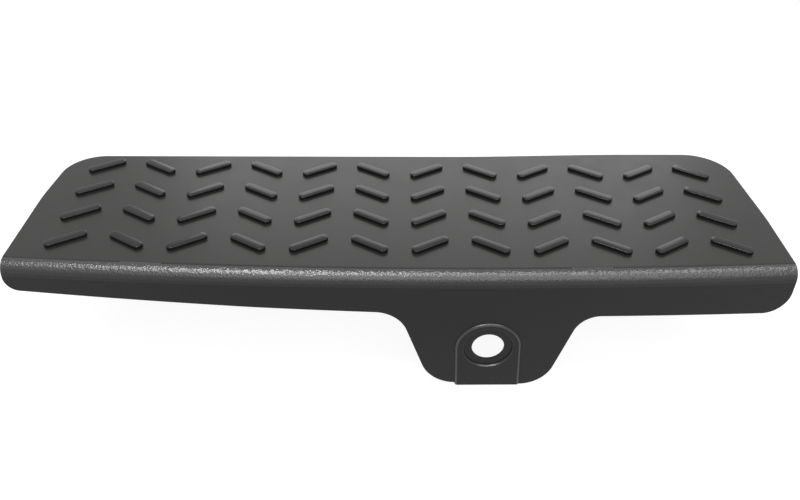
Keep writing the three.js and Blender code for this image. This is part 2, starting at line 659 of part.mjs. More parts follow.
// A rubber strip glued behind the skirt, where the step bears on the tailgate's face.
function skirtStrip({ x0, x1 }) {
  const near = NOSE_RADIUS - WALL - CLEARANCE;
  const far = near - STRIP_THICKNESS;
  const top = RIB_DEPTH + CLEARANCE;
  const bottom = Math.min(top + STRIP_HEIGHT, skirtDepth(x0) - STRIP_EDGE_MARGIN);
  const section = [
    { out: near, down: top },
    { out: near, down: bottom },
    { out: far, down: bottom },
    { out: far, down: top },
  ];
  return sweepFront(section, x0, x1, STRIP_STEPS);
}

// ---- the assembly ----

const mouldingMaterial = new THREE.MeshStandardMaterial({ color: 0x3b3b3c, roughness: 0.5, metalness: 0 });
const rubberMaterial = new THREE.MeshStandardMaterial({ color: 0x1b1b1c, roughness: 0.9, metalness: 0 });
const retainerMaterial = new THREE.MeshStandardMaterial({ color: 0xc9c6ba, roughness: 0.45, metalness: 0 });

function piece(name, body, material) {
  const mesh = new THREE.Mesh(toGeometry(body), material);
  mesh.name = name;
  return mesh;
}

const tailgateStep = new THREE.Group();
tailgateStep.name = 'tailgate_step';
tailgateStep.add(piece('step_moulding', stepMoulding(), mouldingMaterial));
for (const seat of RETAINERS) {
  tailgateStep.add(piece(seat.name, toSolid(retainer(seat)), retainerMaterial));
}
for (const pad of BUMP_PADS) {
  tailgateStep.add(piece(pad.name, toSolid(bumpPad(pad)), rubberMaterial));
}
for (const strip of SKIRT_STRIPS) {
  tailgateStep.add(piece(strip.name, toSolid(skirtStrip(strip)), rubberMaterial));
}

export default tailgateStep;
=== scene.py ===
"""Tailgate step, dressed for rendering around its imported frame. Metres, +Z up."""

import logging
import math
from collections.abc import Callable, Iterable
from dataclasses import dataclass, field, fields, replace
from enum import Enum

import bmesh
import bpy
from mathutils import Matrix, Vector


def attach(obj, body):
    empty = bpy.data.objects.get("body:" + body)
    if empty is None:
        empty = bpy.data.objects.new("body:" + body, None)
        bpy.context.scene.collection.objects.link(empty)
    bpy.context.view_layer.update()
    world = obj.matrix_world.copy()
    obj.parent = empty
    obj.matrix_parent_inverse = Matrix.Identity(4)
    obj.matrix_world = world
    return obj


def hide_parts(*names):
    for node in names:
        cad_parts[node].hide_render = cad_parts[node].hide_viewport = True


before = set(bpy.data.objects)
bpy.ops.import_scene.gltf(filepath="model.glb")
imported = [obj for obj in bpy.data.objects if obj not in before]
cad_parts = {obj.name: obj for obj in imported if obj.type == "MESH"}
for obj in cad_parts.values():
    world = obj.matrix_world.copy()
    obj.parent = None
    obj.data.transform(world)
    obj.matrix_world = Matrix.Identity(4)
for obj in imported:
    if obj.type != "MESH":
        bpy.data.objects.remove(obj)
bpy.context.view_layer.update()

LOG = logging.getLogger("tailgate_step")
MM = 0.001
BODY = "root"

OVERLAP = 0.5  # how far joined solids run into each other, in millimetres
PAST = 1.0  # how far a cutter runs past the face that it cuts, in millimetres
SAME_POINT = 1e-6  # corners closer than this are one, in metres
SAME_SPUN_POINT = 1e-7  # the same where a section was spun
FLAT_TURN = math.radians(0.03)  # faces that turn by less lie in one plane
CLEAR_TURN = 0.5  # an edge that turns by more is a real one, in radians
SQUARE = 0.9999  # a direction with this much of an axis runs along it
UPRIGHT = 0.99  # an edge that rises by this much of its length runs straight up
FLAT_WEIGHT = 100  # how far flat faces outweigh round ones in the shading
SHARE_LAYER = "bevel_weight_edge"

Point = tuple[float, float, float]
FlatPoint = tuple[float, float]
Range = tuple[float, float]
Piece = bpy.types.Object
Material = bpy.types.Material
Socket = bpy.types.NodeSocket
Edge = bmesh.types.BMEdge
Face = bmesh.types.BMFace
Polygon = bpy.types.MeshPolygon
EdgeTest = Callable[[Edge], bool]
FaceTest = Callable[[Face], bool]
PolygonTest = Callable[[Polygon], bool]
EdgeShare = Callable[[Edge], float]


# ---- the bench: what every piece is shaped with ----


class Cut(Enum):
    """How one solid works on another."""

    JOIN = "UNION"
    REMOVE = "DIFFERENCE"
    KEEP_COMMON = "INTERSECT"


class Lie(Enum):
    """The plane that a flat outline is drawn in."""

    PLAN = "plan"
    FRONT = "front"


class Part(Enum):
    """What of a mesh is selected."""

    EDGES = "EDGE"
    FACES = "FACE"


class Axis(Enum):
    """A direction of the step's frame."""

    X = 0
    Y = 1
    Z = 2


def end_edit() -> None:
    """Goes back to object mode."""
    bpy.ops.object.mode_set(mode="OBJECT")


def deselect() -> None:
    """Leaves nothing selected, in object mode."""
    if bpy.context.object and bpy.context.object.mode != "OBJECT":
        end_edit()
    bpy.ops.object.select_all(action="DESELECT")


def discard(piece: Piece) -> None:
    """Deletes a piece that has done its work."""
    bpy.data.objects.remove(piece, do_unlink=True)


def pick(piece: Piece) -> None:
    """Makes a piece the only one that operators act on.

    Args:
        piece: the object to select and make active.
    """
    deselect()
    piece.hide_set(False)
    piece.select_set(True)
    bpy.context.view_layer.objects.active = piece


def edit_all(piece: Piece) -> None:
    """Puts a piece in edit mode with all of it selected.

    Args:
        piece: the object to edit.
    """
    pick(piece)
    bpy.ops.object.mode_set(mode="EDIT")
    bpy.ops.mesh.select_all(action="SELECT")


def select(piece: Piece, part: Part, test: EdgeTest | FaceTest) -> bool:
    """Leaves a piece in edit mode, with its edges or faces selected that pass a test.

    Args:
        piece: the object to edit.
        part: whether its edges or its faces are tested.
        test: says of one of them whether it is selected.

    Returns:
        Whether any was selected.
    """
    pick(piece)
    bpy.ops.object.mode_set(mode="EDIT")
    bpy.ops.mesh.select_mode(type=part.value)
    bpy.ops.mesh.select_all(action="DESELECT")
    mesh = bmesh.from_edit_mesh(piece.data)
    chosen = [item for item in (mesh.edges if part is Part.EDGES else mesh.faces) if test(item)]
    for item in chosen:
        item.select_set(True)
    bmesh.update_edit_mesh(piece.data)
    return bool(chosen)


def start_at(name: str, place: Point) -> Piece:
    """Starts a piece as one point.

    Args:
        name: the piece's name.
        place: where its first point lies, in millimetres.

    Returns:
        The object, in edit mode with that point selected.
    """
    deselect()
    bpy.ops.mesh.primitive_plane_add(size=MM)
    piece = bpy.context.object
    piece.name = name
    bpy.ops.object.mode_set(mode="EDIT")
    bpy.ops.mesh.select_mode(type="VERT")
    bpy.ops.mesh.select_all(action="SELECT")
    bpy.ops.mesh.merge(type="CENTER")
    bpy.ops.transform.translate(value=tuple(MM * c for c in place))
    return piece


def trace(name: str, points: list[Point], filled: bool = True) -> Piece:
    """Draws a line from point to point by extruding its end.

    Args:
        name: the piece's name.
        points: the places that it passes, in millimetres.
        filled: whether the line is closed to a face.

    Returns:
        The object, in object mode.
    """
    piece = start_at(name, points[0])
    for here, there in zip(points, points[1:]):
        step = tuple(MM * (b - a) for a, b in zip(here, there))
        bpy.ops.mesh.extrude_region_move(TRANSFORM_OT_translate={"value": step})
    bpy.ops.mesh.select_all(action="SELECT")
    if filled:
        bpy.ops.mesh.edge_face_add()
    end_edit()
    return piece


def prism(name: str, outline: list[FlatPoint], lie: Lie, low: float, high: float) -> Piece:
    """Extrudes a flat outline to a solid.

    Args:
        name: the piece's name.
        outline: its corners, in millimetres.
        lie: the plane that the outline is drawn in.
        low: where the solid starts across that plane, in millimetres.
        high: where it ends.

    Returns:
        The closed solid.
    """
    if lie is Lie.PLAN:
        points = [(x, y, low) for x, y in outline]
        step = (0.0, 0.0, MM * (high - low))
    else:
        points = [(x, low, z) for x, z in outline]
        step = (0.0, MM * (high - low), 0.0)
    piece = trace(name, points)
    edit_all(piece)
    bpy.ops.mesh.extrude_region_move(TRANSFORM_OT_translate={"value": step})
    edit_all(piece)
    bpy.ops.mesh.normals_make_consistent(inside=False)
    end_edit()
    return piece


def block(name: str, low: Point, high: Point) -> Piece:
    """Adds a block between two corners, given in millimetres.

    Args:
        name: the piece's name.
        low: its lowest corner.
        high: its highest corner.

    Returns:
        The block, with its place in its mesh.
    """
    outline = [(low[0], low[1]), (high[0], low[1]), (high[0], high[1]), (low[0], high[1])]
    return prism(name, outline, Lie.PLAN, low[2], high[2])


def turn_on_axis(piece: Piece, centre: Point, axis: Point, angle: float, steps: int) -> Piece:
    """Spins a profile or a section about an axis to a closed solid.

    Args:
        piece: the profile or section.
        centre: a point on the axis, in millimetres.
        axis: the axis' direction.
        angle: how far it is spun, in radians.
        steps: how many steps that takes.

    Returns:
        The same object, now a solid.
    """
    edit_all(piece)
    middle = tuple(MM * c for c in centre)
    bpy.ops.mesh.spin(steps=steps, dupli=False, angle=-angle, center=middle, axis=axis)
    bpy.ops.mesh.select_all(action="SELECT")
    bpy.ops.mesh.remove_doubles(threshold=SAME_SPUN_POINT)
    bpy.ops.mesh.normals_make_consistent(inside=False)
    end_edit()
    return piece


def work(target: Piece, tool: Piece, how: Cut, keep_tool: bool = False) -> None:
    """Joins, cuts or trims one solid with another.

    Args:
        target: the solid that is changed.
        tool: the solid that works on it.
        how: what the tool does.
        keep_tool: whether the tool is used again.
    """
    pick(target)
    modifier = target.modifiers.new("work", "BOOLEAN")
    modifier.operation = how.value
    modifier.solver = "MANIFOLD"
    modifier.material_mode = "TRANSFER"
    modifier.object = tool
    bpy.ops.object.modifier_apply(modifier=modifier.name)
    if not keep_tool:
        discard(tool)


def paint(piece: Piece, material: Material) -> Piece:
    """Gives a whole piece one material.

    Args:
        piece: the piece.
        material: its material.

    Returns:
        The same object.
    """
    piece.data.materials.clear()
    piece.data.materials.append(material)
    return piece


def merge_flats(piece: Piece) -> None:
    """Merges a solid's faces that lie in one plane.

    Args:
        piece: the solid.
    """
    edit_all(piece)
    bpy.ops.mesh.remove_doubles(threshold=SAME_POINT)
    bpy.ops.mesh.dissolve_limited(angle_limit=FLAT_TURN)
    end_edit()


def round_edges(piece: Piece, test: EdgeTest, radius: float, segments: int) -> None:
    """Rounds the edges that pass a test.

    Args:
        piece: the solid.
        test: says of an edge whether it is rounded.
        radius: the rounding, in millimetres.
        segments: how many faces it gets.
    """
    if select(piece, Part.EDGES, lambda edge: len(edge.link_faces) == 2 and test(edge)):
        bpy.ops.mesh.bevel(offset=MM * radius, segments=segments, profile=0.5, affect="EDGES")
    end_edit()


def round_by_share(piece: Piece, share: EdgeShare, radius: float, segments: int) -> None:
    """Rounds edges, each by its own share of one radius.

    Args:
        piece: the solid.
        share: gives an edge's share of the radius, 0 where it stays sharp.
        radius: the full rounding, in millimetres.
        segments: how many faces it gets.
    """
    pick(piece)
    mesh = bmesh.new()
    mesh.from_mesh(piece.data)
    layer = mesh.edges.layers.float.new(SHARE_LAYER)
    for edge in mesh.edges:
        edge[layer] = share(edge)
    mesh.to_mesh(piece.data)
    mesh.free()
    modifier = piece.modifiers.new("edges", "BEVEL")
    modifier.limit_method = "WEIGHT"
    modifier.width = MM * radius
    modifier.segments = segments
    modifier.use_clamp_overlap = False
    bpy.ops.object.modifier_apply(modifier=modifier.name)
    piece.data.attributes.remove(piece.data.attributes[SHARE_LAYER])


def split_faces(piece: Piece, test: FaceTest, places: Iterable[float], axis: Axis) -> None:
    """Splits faces along planes, so that no opening lies whole within one face.

    Args:
        piece: the solid.
        test: says of a face whether it is split.
        places: where the planes cross the axis, in millimetres.
        axis: the axis that the planes stand square to.
    """
    direction = tuple(float(k == axis.value) for k in range(3))
    for place in places:
        select(piece, Part.FACES, test)
        point = tuple(MM * place * part for part in direction)
        bpy.ops.mesh.bisect(plane_co=point, plane_no=direction)
        end_edit()


def paint_faces(piece: Piece, material: Material, test: PolygonTest) -> None:
    """Gives the faces that pass a test a material of their own.

    Args:
        piece: the solid, already painted.
        material: the material.
        test: says of a face whether it takes the material.
    """
    piece.data.materials.append(material)
    for face in piece.data.polygons:
        if test(face):
            face.material_index = len(piece.data.materials) - 1


def copy_piece(piece: Piece, name: str, matrix: Matrix) -> Piece:
    """Copies a piece to another place, with a mesh of its own.

    Args:
        piece: the model piece.
        name: the copy's name.
        matrix: where the copy's mesh goes, in metres.

    Returns:
        The copy, with its place in its mesh.
    """
    pick(piece)
    bpy.ops.object.duplicate(linked=False)
    twin = bpy.context.object
    twin.name = name
    twin.data.name = name
    twin.data.transform(matrix)
    return twin


def stand_for(piece: Piece, node: str) -> None:
    """Lets a finished piece take the place of its solid in the frame.

    Args:
        piece: the finished piece.
        node: the solid's name.
    """
    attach(piece, BODY)
    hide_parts(node)
    LOG.info("piece: %s", piece.name)


def stand_copies(
    model: Piece, places: dict[str, FlatPoint], rename: tuple[str, str]
) -> None:
    """Puts a copy of a model at each of its places, and discards the model.

    Args:
        model: the piece, modelled over the middle of the step.
        places: the solids' names, and where they stand in plan, in millimetres.
        rename: the words of the solids' names that change, and what they become.
    """
    for node, (x, y) in places.items():
        place = Matrix.Translation((MM * x, MM * y, 0))
        stand_for(copy_piece(model, node.replace(*rename), place), node)
    discard(model)


def join_pieces(pieces: list[Piece], name: str) -> Piece:
    """Makes one object of several that don't touch.

    Args:
        pieces: the objects.
        name: the new object's name.

    Returns:
        The joined object.
    """
    pick(pieces[0])
    for piece in pieces[1:]:
        piece.select_set(True)
    bpy.ops.object.join()
    joined = bpy.context.object
    joined.name = name
    return joined


def smooth(piece: Piece, sharpest: float = 40.0) -> None:
    """Shades a piece smooth but for its real edges, with its flat faces kept flat.

    Args:
        piece: the finished solid.
        sharpest: edges that turn by more than this stay sharp, in degrees.
    """
    pick(piece)
    bpy.ops.object.shade_smooth_by_angle(angle=math.radians(sharpest))
    modifier = piece.modifiers.new("flats", "WEIGHTED_NORMAL")
    modifier.keep_sharp = True
    modifier.weight = FLAT_WEIGHT
    bpy.ops.object.modifier_apply(modifier=modifier.name)


# ---- which edges are rounded ----


def is_upright_edge(edge: Edge) -> bool:
    """Says whether an edge runs straight up."""
    along = edge.verts[1].co - edge.verts[0].co
    return abs(along.z) > UPRIGHT * along.length and edge.calc_face_angle(0.0) > CLEAR_TURN


def is_closed_end(edge: Edge) -> bool:
    """Says whether an edge runs straight up at the closed end of a retainer's socket."""
    return is_upright_edge(edge) and all(corner.co.y < 0 for corner in edge.verts)


def is_level_top(face: Face) -> bool:
    """Says whether a face is level and looks up."""
    return face.normal.z > SQUARE


def is_level(face: Face) -> bool:
    """Says whether a face is level."""
    return abs(face.normal.z) > SQUARE


def is_upright_front(face: Face) -> bool:
    """Says whether a face looks straight forward or back."""
    return abs(face.normal.y) > SQUARE


def rims_face(axis: Axis, place: float) -> EdgeTest:
    """Gives the test for the edges round a face that stands square to an axis.

    Args:
        axis: the axis.
        place: where the face crosses it, in millimetres.

    Returns:
        The test.
    """

    def test(edge: Edge) -> bool:
        """Says whether an edge lies round that face."""
        level = all(abs(end.co[axis.value] - MM * place) < SAME_POINT for end in edge.verts)
        return level and edge.calc_face_angle(0.0) > CLEAR_TURN

    return test


# ---- outlines ----

ARC_TURN = 5.0  # the largest turn between two points of an arc, in degrees
PAD_TURN = 10.0  # the same on a bump pad
SMALL_TURN = 15.0  # and on the small roundings of retainers and strips
FEWEST_STEPS = 3
MOUTH_STEPS = 3
SMALLEST_RADIUS = 0.5  # of a corner that an inset makes tighter, in millimetres


def quarter_round(radius: float, level: float, rounding: float, side: int) -> list[FlatPoint]:
    """Follows the rounded mouth of a hole.

    Args:
        radius: the hole's radius, in millimetres.
        level: where the face lies that the hole opens in.
        rounding: the mouth's radius.
        side: -1 where the line runs into the hole, 1 where it comes out of it.

    Returns:
        The points as (radius, level).
    """
    points = []
    for k in range(MOUTH_STEPS + 1):
        turn = math.pi / 2 * k / MOUTH_STEPS
        out, back = 1 - math.sin(turn), 1 - math.cos(turn)
        if side > 0:
            out, back = back, out
        points.append((radius + rounding * out, level + side * rounding * back))
    return points


@dataclass(frozen=True)
class Corner:
    """A corner of an outline, in millimetres, with the radius that rounds it."""

    x: float
    y: float
    radius: float = 0.0

    @property
    def place(self) -> Vector:
        """Where the corner lies."""
        return Vector((self.x, self.y))


def rounded(corners: list[Corner], step: float = ARC_TURN) -> list[FlatPoint]:
    """Follows an outline and rounds its corners.

    Args:
        corners: the outline's corners in order.
        step: the largest turn between two points of an arc, in degrees.

    Returns:
        The points along the outline.
    """
    points: list[FlatPoint] = []
    for i, corner in enumerate(corners):
        here = corner.place
        arriving = (here - corners[i - 1].place).normalized()
        leaving = (corners[(i + 1) % len(corners)].place - here).normalized()
        turn = math.atan2(arriving.cross(leaving), arriving.dot(leaving))
        if not corner.radius:
            points.append((here.x, here.y))
            continue
        start = here - arriving * corner.radius * math.tan(abs(turn) / 2)
        side = Vector((-arriving.y, arriving.x)) * math.copysign(1.0, turn)
        centre = start + side * corner.radius
        steps = max(FEWEST_STEPS, math.ceil(math.degrees(abs(turn)) / step))
        for k in range(steps + 1):
            spoke = start - centre
            spoke.rotate(Matrix.Rotation(turn * k / steps, 2))
            points.append(tuple(centre + spoke))
    return points


def inset(corners: list[Corner], wall: float) -> list[Corner]:
    """Moves an anticlockwise outline inwards by a wall.

    Args:
        corners: the outline's corners in order.
        wall: how far each edge moves, in millimetres.

    Returns:
        The corners of the inner outline.
    """
    edges = []
    for i, corner in enumerate(corners):
        after = corners[(i + 1) % len(corners)]
        along = Vector((after.x - corner.x, after.y - corner.y)).normalized()
        edges.append((corner.place + Vector((-along.y, along.x)) * wall, along))
    inner = []
    for i, corner in enumerate(corners):
        at, along = edges[i]
        old_at, old_along = edges[i - 1]
        travel = (at - old_at).cross(along) / old_along.cross(along)
        place = old_at + old_along * travel
        bend = math.copysign(1.0, old_along.cross(along))
        radius = max(corner.radius - bend * wall, SMALLEST_RADIUS) if corner.radius else 0.0
        inner.append(Corner(place.x, place.y, radius))
    return inner


# ---- finishes ----

CLOUD_SPAN = (0.3, 0.7)  # the values of a noise between which a finish changes
CLOUD_LAYERS = 3.0
PATCHES_PER_CLOUD = 2.3
PATCH_LAYERS = 4.0
FINE_LAYERS = 2.0
PEBBLE_SPAN = (0.0, 0.75)
PEBBLE_SOFTNESS = 0.35


class Nodes:
    """Writes the node tree of one material."""

    def __init__(self, name: str) -> None:
        """Starts a material with its shader and output.

        Args:
            name: the material's name.
        """
        self.material = bpy.data.materials.new(name)
        self.material.use_nodes = True
        self.tree = self.material.node_tree
        self.shader = self.tree.nodes["Principled BSDF"]
        place = self.tree.nodes.new("ShaderNodeTexCoord")
        self.place = place.outputs["Object"]

    def add(self, kind: str, **values: object) -> bpy.types.Node:
        """Adds a node.

        Args:
            kind: the node's type.
            values: its properties.

        Returns:
            The node.
        """
        node = self.tree.nodes.new(kind)
        for key, value in values.items():
            setattr(node, key, value)
        return node

    def link(self, source: Socket, target: Socket) -> None:
        """Links two sockets."""
        self.tree.links.new(source, target)

    def noise(self, scale: float, detail: float) -> Socket:
        """Adds noise on the object's own coordinates.

        Args:
            scale: its scale per metre.
            detail: how many finer layers it has.

        Returns:
            The noise value's socket.
        """
        node = self.add("ShaderNodeTexNoise")
        node.inputs["Scale"].default_value = scale
        node.inputs["Detail"].default_value = detail
        self.link(self.place, node.inputs["Vector"])
        return node.outputs["Fac"]

    def pebbles(self, size: float) -> Socket:
        """Adds rounded pebbles that stand close together.

        Args:
            size: the mean width of one, in metres.

        Returns:
            The socket of their height, from 0 to 1.
        """
        node = self.add("ShaderNodeTexVoronoi", feature="SMOOTH_F1")
        node.inputs["Scale"].default_value = 1.0 / size
        node.inputs["Smoothness"].default_value = PEBBLE_SOFTNESS
        self.link(self.place, node.inputs["Vector"])
        return self.spread(node.outputs["Distance"], PEBBLE_SPAN, (1.0, 0.0))

    def spread(self, value: Socket, counts: Range, becomes: Range) -> Socket:
        """Maps a value from one range to another.

        Args:
            value: the socket it comes from.
            counts: the lowest and the highest value that count.
            becomes: what these two become.

        Returns:
            The mapped value's socket.
        """
        node = self.add("ShaderNodeMapRange")
        for key, number in zip(("From Min", "From Max", "To Min", "To Max"), counts + becomes):
            node.inputs[key].default_value = number
        self.link(value, node.inputs["Value"])
        return node.outputs["Result"]

    def blend_colours(self, value: Socket, first: Point, second: Point) -> Socket:
        """Blends two colours by a value.

        Args:
            value: the socket of the blend, from 0 to 1.
            first: the colour at 0.
            second: the colour at 1.

        Returns:
            The colour's socket.
        """
        node = self.add("ShaderNodeMix", data_type="RGBA")
        colours = [socket for socket in node.inputs if socket.type == "RGBA"]
        colours[0].default_value = (*first, 1.0)
        colours[1].default_value = (*second, 1.0)
        self.link(value, node.inputs["Factor"])
        return next(socket for socket in node.outputs if socket.type == "RGBA")

    def raise_by(self, height: Socket, depth: float, under: Socket | None = None) -> Socket:
        """Raises the surface by a height.

        Args:
            height: the socket of the height, from 0 to 1.
            depth: how far 1 stands out, in metres.
            under: the socket of a coarser relief below it.

        Returns:
            The surface direction's socket.
        """
        node = self.add("ShaderNodeBump")
        node.inputs["Strength"].default_value = 1.0
        node.inputs["Distance"].default_value = depth
        self.link(height, node.inputs["Height"])
        if under is not None:
            self.link(under, node.inputs["Normal"])
        return node.outputs["Normal"]


@dataclass(frozen=True)
class Finish:
    """A moulded or turned surface. Each grain is given as its size and depth, in metres."""

    name: str
    colour: Point
    second_colour: Point
    roughness: Range
    specular: float
    cloud_size: float = 0.030
    grain: Range = (0.0009, 0.0)
    fine: Range = (0.0006, 0.000004)

    def towards(self, other: "Finish", share: float) -> "Finish":
        """Gives a finish between this one and another.

        Args:
            other: the other finish.
            share: how far towards it, from 0 to 1.

        Returns:
            The finish between them.
        """

        def between(a: float, b: float) -> float:
            """Blends two numbers."""
            return a + (b - a) * share

        values: dict[str, object] = {"name": f"{self.name}_{round(share * 100):02d}"}
        for item in fields(self):
            a, b = getattr(self, item.name), getattr(other, item.name)
            if isinstance(a, tuple):
                values[item.name] = tuple(between(x, y) for x, y in zip(a, b))
            elif isinstance(a, float):
                values[item.name] = between(a, b)
        return replace(self, **values)

    def material(self) -> Material:
        """Builds the finish as a material.

        Returns:
            The material.
        """
        nodes = Nodes(self.name)
        inputs = nodes.shader.inputs
        cloud = nodes.noise(1.0 / self.cloud_size, CLOUD_LAYERS)
        tone = nodes.spread(cloud, CLOUD_SPAN, (0.0, 1.0))
        nodes.link(
            nodes.blend_colours(tone, self.colour, self.second_colour), inputs["Base Color"]
        )
        patch = nodes.noise(PATCHES_PER_CLOUD / self.cloud_size, PATCH_LAYERS)
        nodes.link(nodes.spread(patch, CLOUD_SPAN, self.roughness), inputs["Roughness"])
        inputs["Specular IOR Level"].default_value = self.specular
        size, depth = self.fine
        relief = nodes.raise_by(nodes.noise(1.0 / size, FINE_LAYERS), depth)
        size, depth = self.grain
        if depth > 0:
            relief = nodes.raise_by(nodes.pebbles(size), depth, relief)
        nodes.link(relief, inputs["Normal"])
        return nodes.material


SATIN_BLACK = Finish(
    "satin_black_moulding",
    colour=(0.0125, 0.0120, 0.0113),
    second_colour=(0.0150, 0.0145, 0.0138),
    roughness=(0.28, 0.34),
    specular=0.36,
)
GLOSSY_BLACK = Finish(
    "glossy_black_bars",
    colour=(0.0060, 0.0060, 0.0060),
    second_colour=(0.0085, 0.0085, 0.0085),
    roughness=(0.10, 0.15),
    specular=0.33,
    cloud_size=0.012,
    fine=(0.0010, 0.000008),
)
PEBBLED_BLACK = Finish(
    "pebbled_black_moulding",
    colour=(0.013, 0.013, 0.0135),
    second_colour=(0.017, 0.017, 0.0175),
    roughness=(0.24, 0.30),
    specular=0.92,
    grain=(0.0009, 0.00011),
    fine=(0.0006, 0.00004),
)
GRAINED_BLACK = Finish(
    "grained_black_moulding",
    colour=(0.010, 0.010, 0.0105),
    second_colour=(0.013, 0.013, 0.0135),
    roughness=(0.36, 0.44),
    specular=0.24,
    grain=(0.0009, 0.00003),
    fine=(0.0004, 0.00001),
)
POLISHED_BLACK = Finish(
    "polished_black_edges",
    colour=(0.012, 0.012, 0.0125),
    second_colour=(0.016, 0.016, 0.0165),
    roughness=(0.28, 0.34),
    specular=0.66,
    cloud_size=0.020,
    fine=(0.0005, 0.000008),
)
PLAIN_BLACK = Finish(
    "plain_black_underside",
    colour=(0.028, 0.028, 0.028),
    second_colour=(0.034, 0.034, 0.034),
    roughness=(0.42, 0.52),
    specular=0.45,
    cloud_size=0.025,
    fine=(0.0010, 0.00001),
)
BLACK_RUBBER = Finish(
    "black_rubber",
    colour=(0.018, 0.018, 0.018),
    second_colour=(0.024, 0.024, 0.024),
    roughness=(0.70, 0.85),
    specular=0.35,
    cloud_size=0.008,
    grain=(0.0006, 0.00002),
    fine=(0.0003, 0.00001),
)
NATURAL_NYLON = Finish(
    "natural_nylon",
    colour=(0.60, 0.58, 0.50),
    second_colour=(0.64, 0.62, 0.54),
    roughness=(0.34, 0.46),
    specular=0.5,
    cloud_size=0.006,
    fine=(0.0005, 0.000006),
)


# ---- places that the pieces share, in millimetres ----

RIB_PITCH = 32.0
RIB_LINES = [RIB_PITCH * (k + 0.5) for k in range(-5, 5)]
LONG_RIB = 22.0
PAD_SIZE = (18.0, 14.0, 1.7)
PAD_PLACES = {
    "bump_pad_front_left": (-144.0, -22.0),
    "bump_pad_front_middle": (0.0, -22.0),
    "bump_pad_front_right": (144.0, -22.0),
    "bump_pad_centre": (0.0, 0.0),
    "bump_pad_rear_left": (-144.0, 22.0),
    "bump_pad_rear_middle": (0.0, 22.0),
    "bump_pad_rear_right": (144.0, 22.0),
}
RETAINER_PLACES = {
    "retainer_front_left": (-128.0, -8.2),
    "retainer_front_right": (128.0, -8.2),
    "retainer_rear_far_left": (-96.0, 8.2),
    "retainer_rear_left": (-32.0, 8.2),
    "retainer_rear_right": (32.0, 8.2),
    "retainer_rear_far_right": (96.0, 8.2),
}
SOCKET_INNER = 7.0
SOCKET_FLOOR = 2.0
NECK_RADIUS = 2.5


# ---- the step moulding ----

DECK_GAP = 0.001  # a point this near to the deck's height lies on it, in millimetres
NOSE_START = 0.01  # faces less far in front of the arc belong to the deck, in millimetres
END_WALL = 0.7  # faces that look along the step by more than this belong to an end wall
FACES_UP = 0.3
SIDEWAYS = 0.2  # the deck, nose and skirt look along the step by less than this
SLIGHT_TILT = 0.02
DECK_TILT = 0.9
ALMOST = 0.01  # what a half circle's radius lacks of half its width, in millimetres
EDGE_FACING = (-0.98, -0.1)  # how the rounded edge of the bolt seat looks across the step
MOUTH_TILT = 0.2  # the counterbore's mouth looks across the step by more than this
MOUTH_GAP = 0.05  # and ends this far above the counterbore's floor, in millimetres


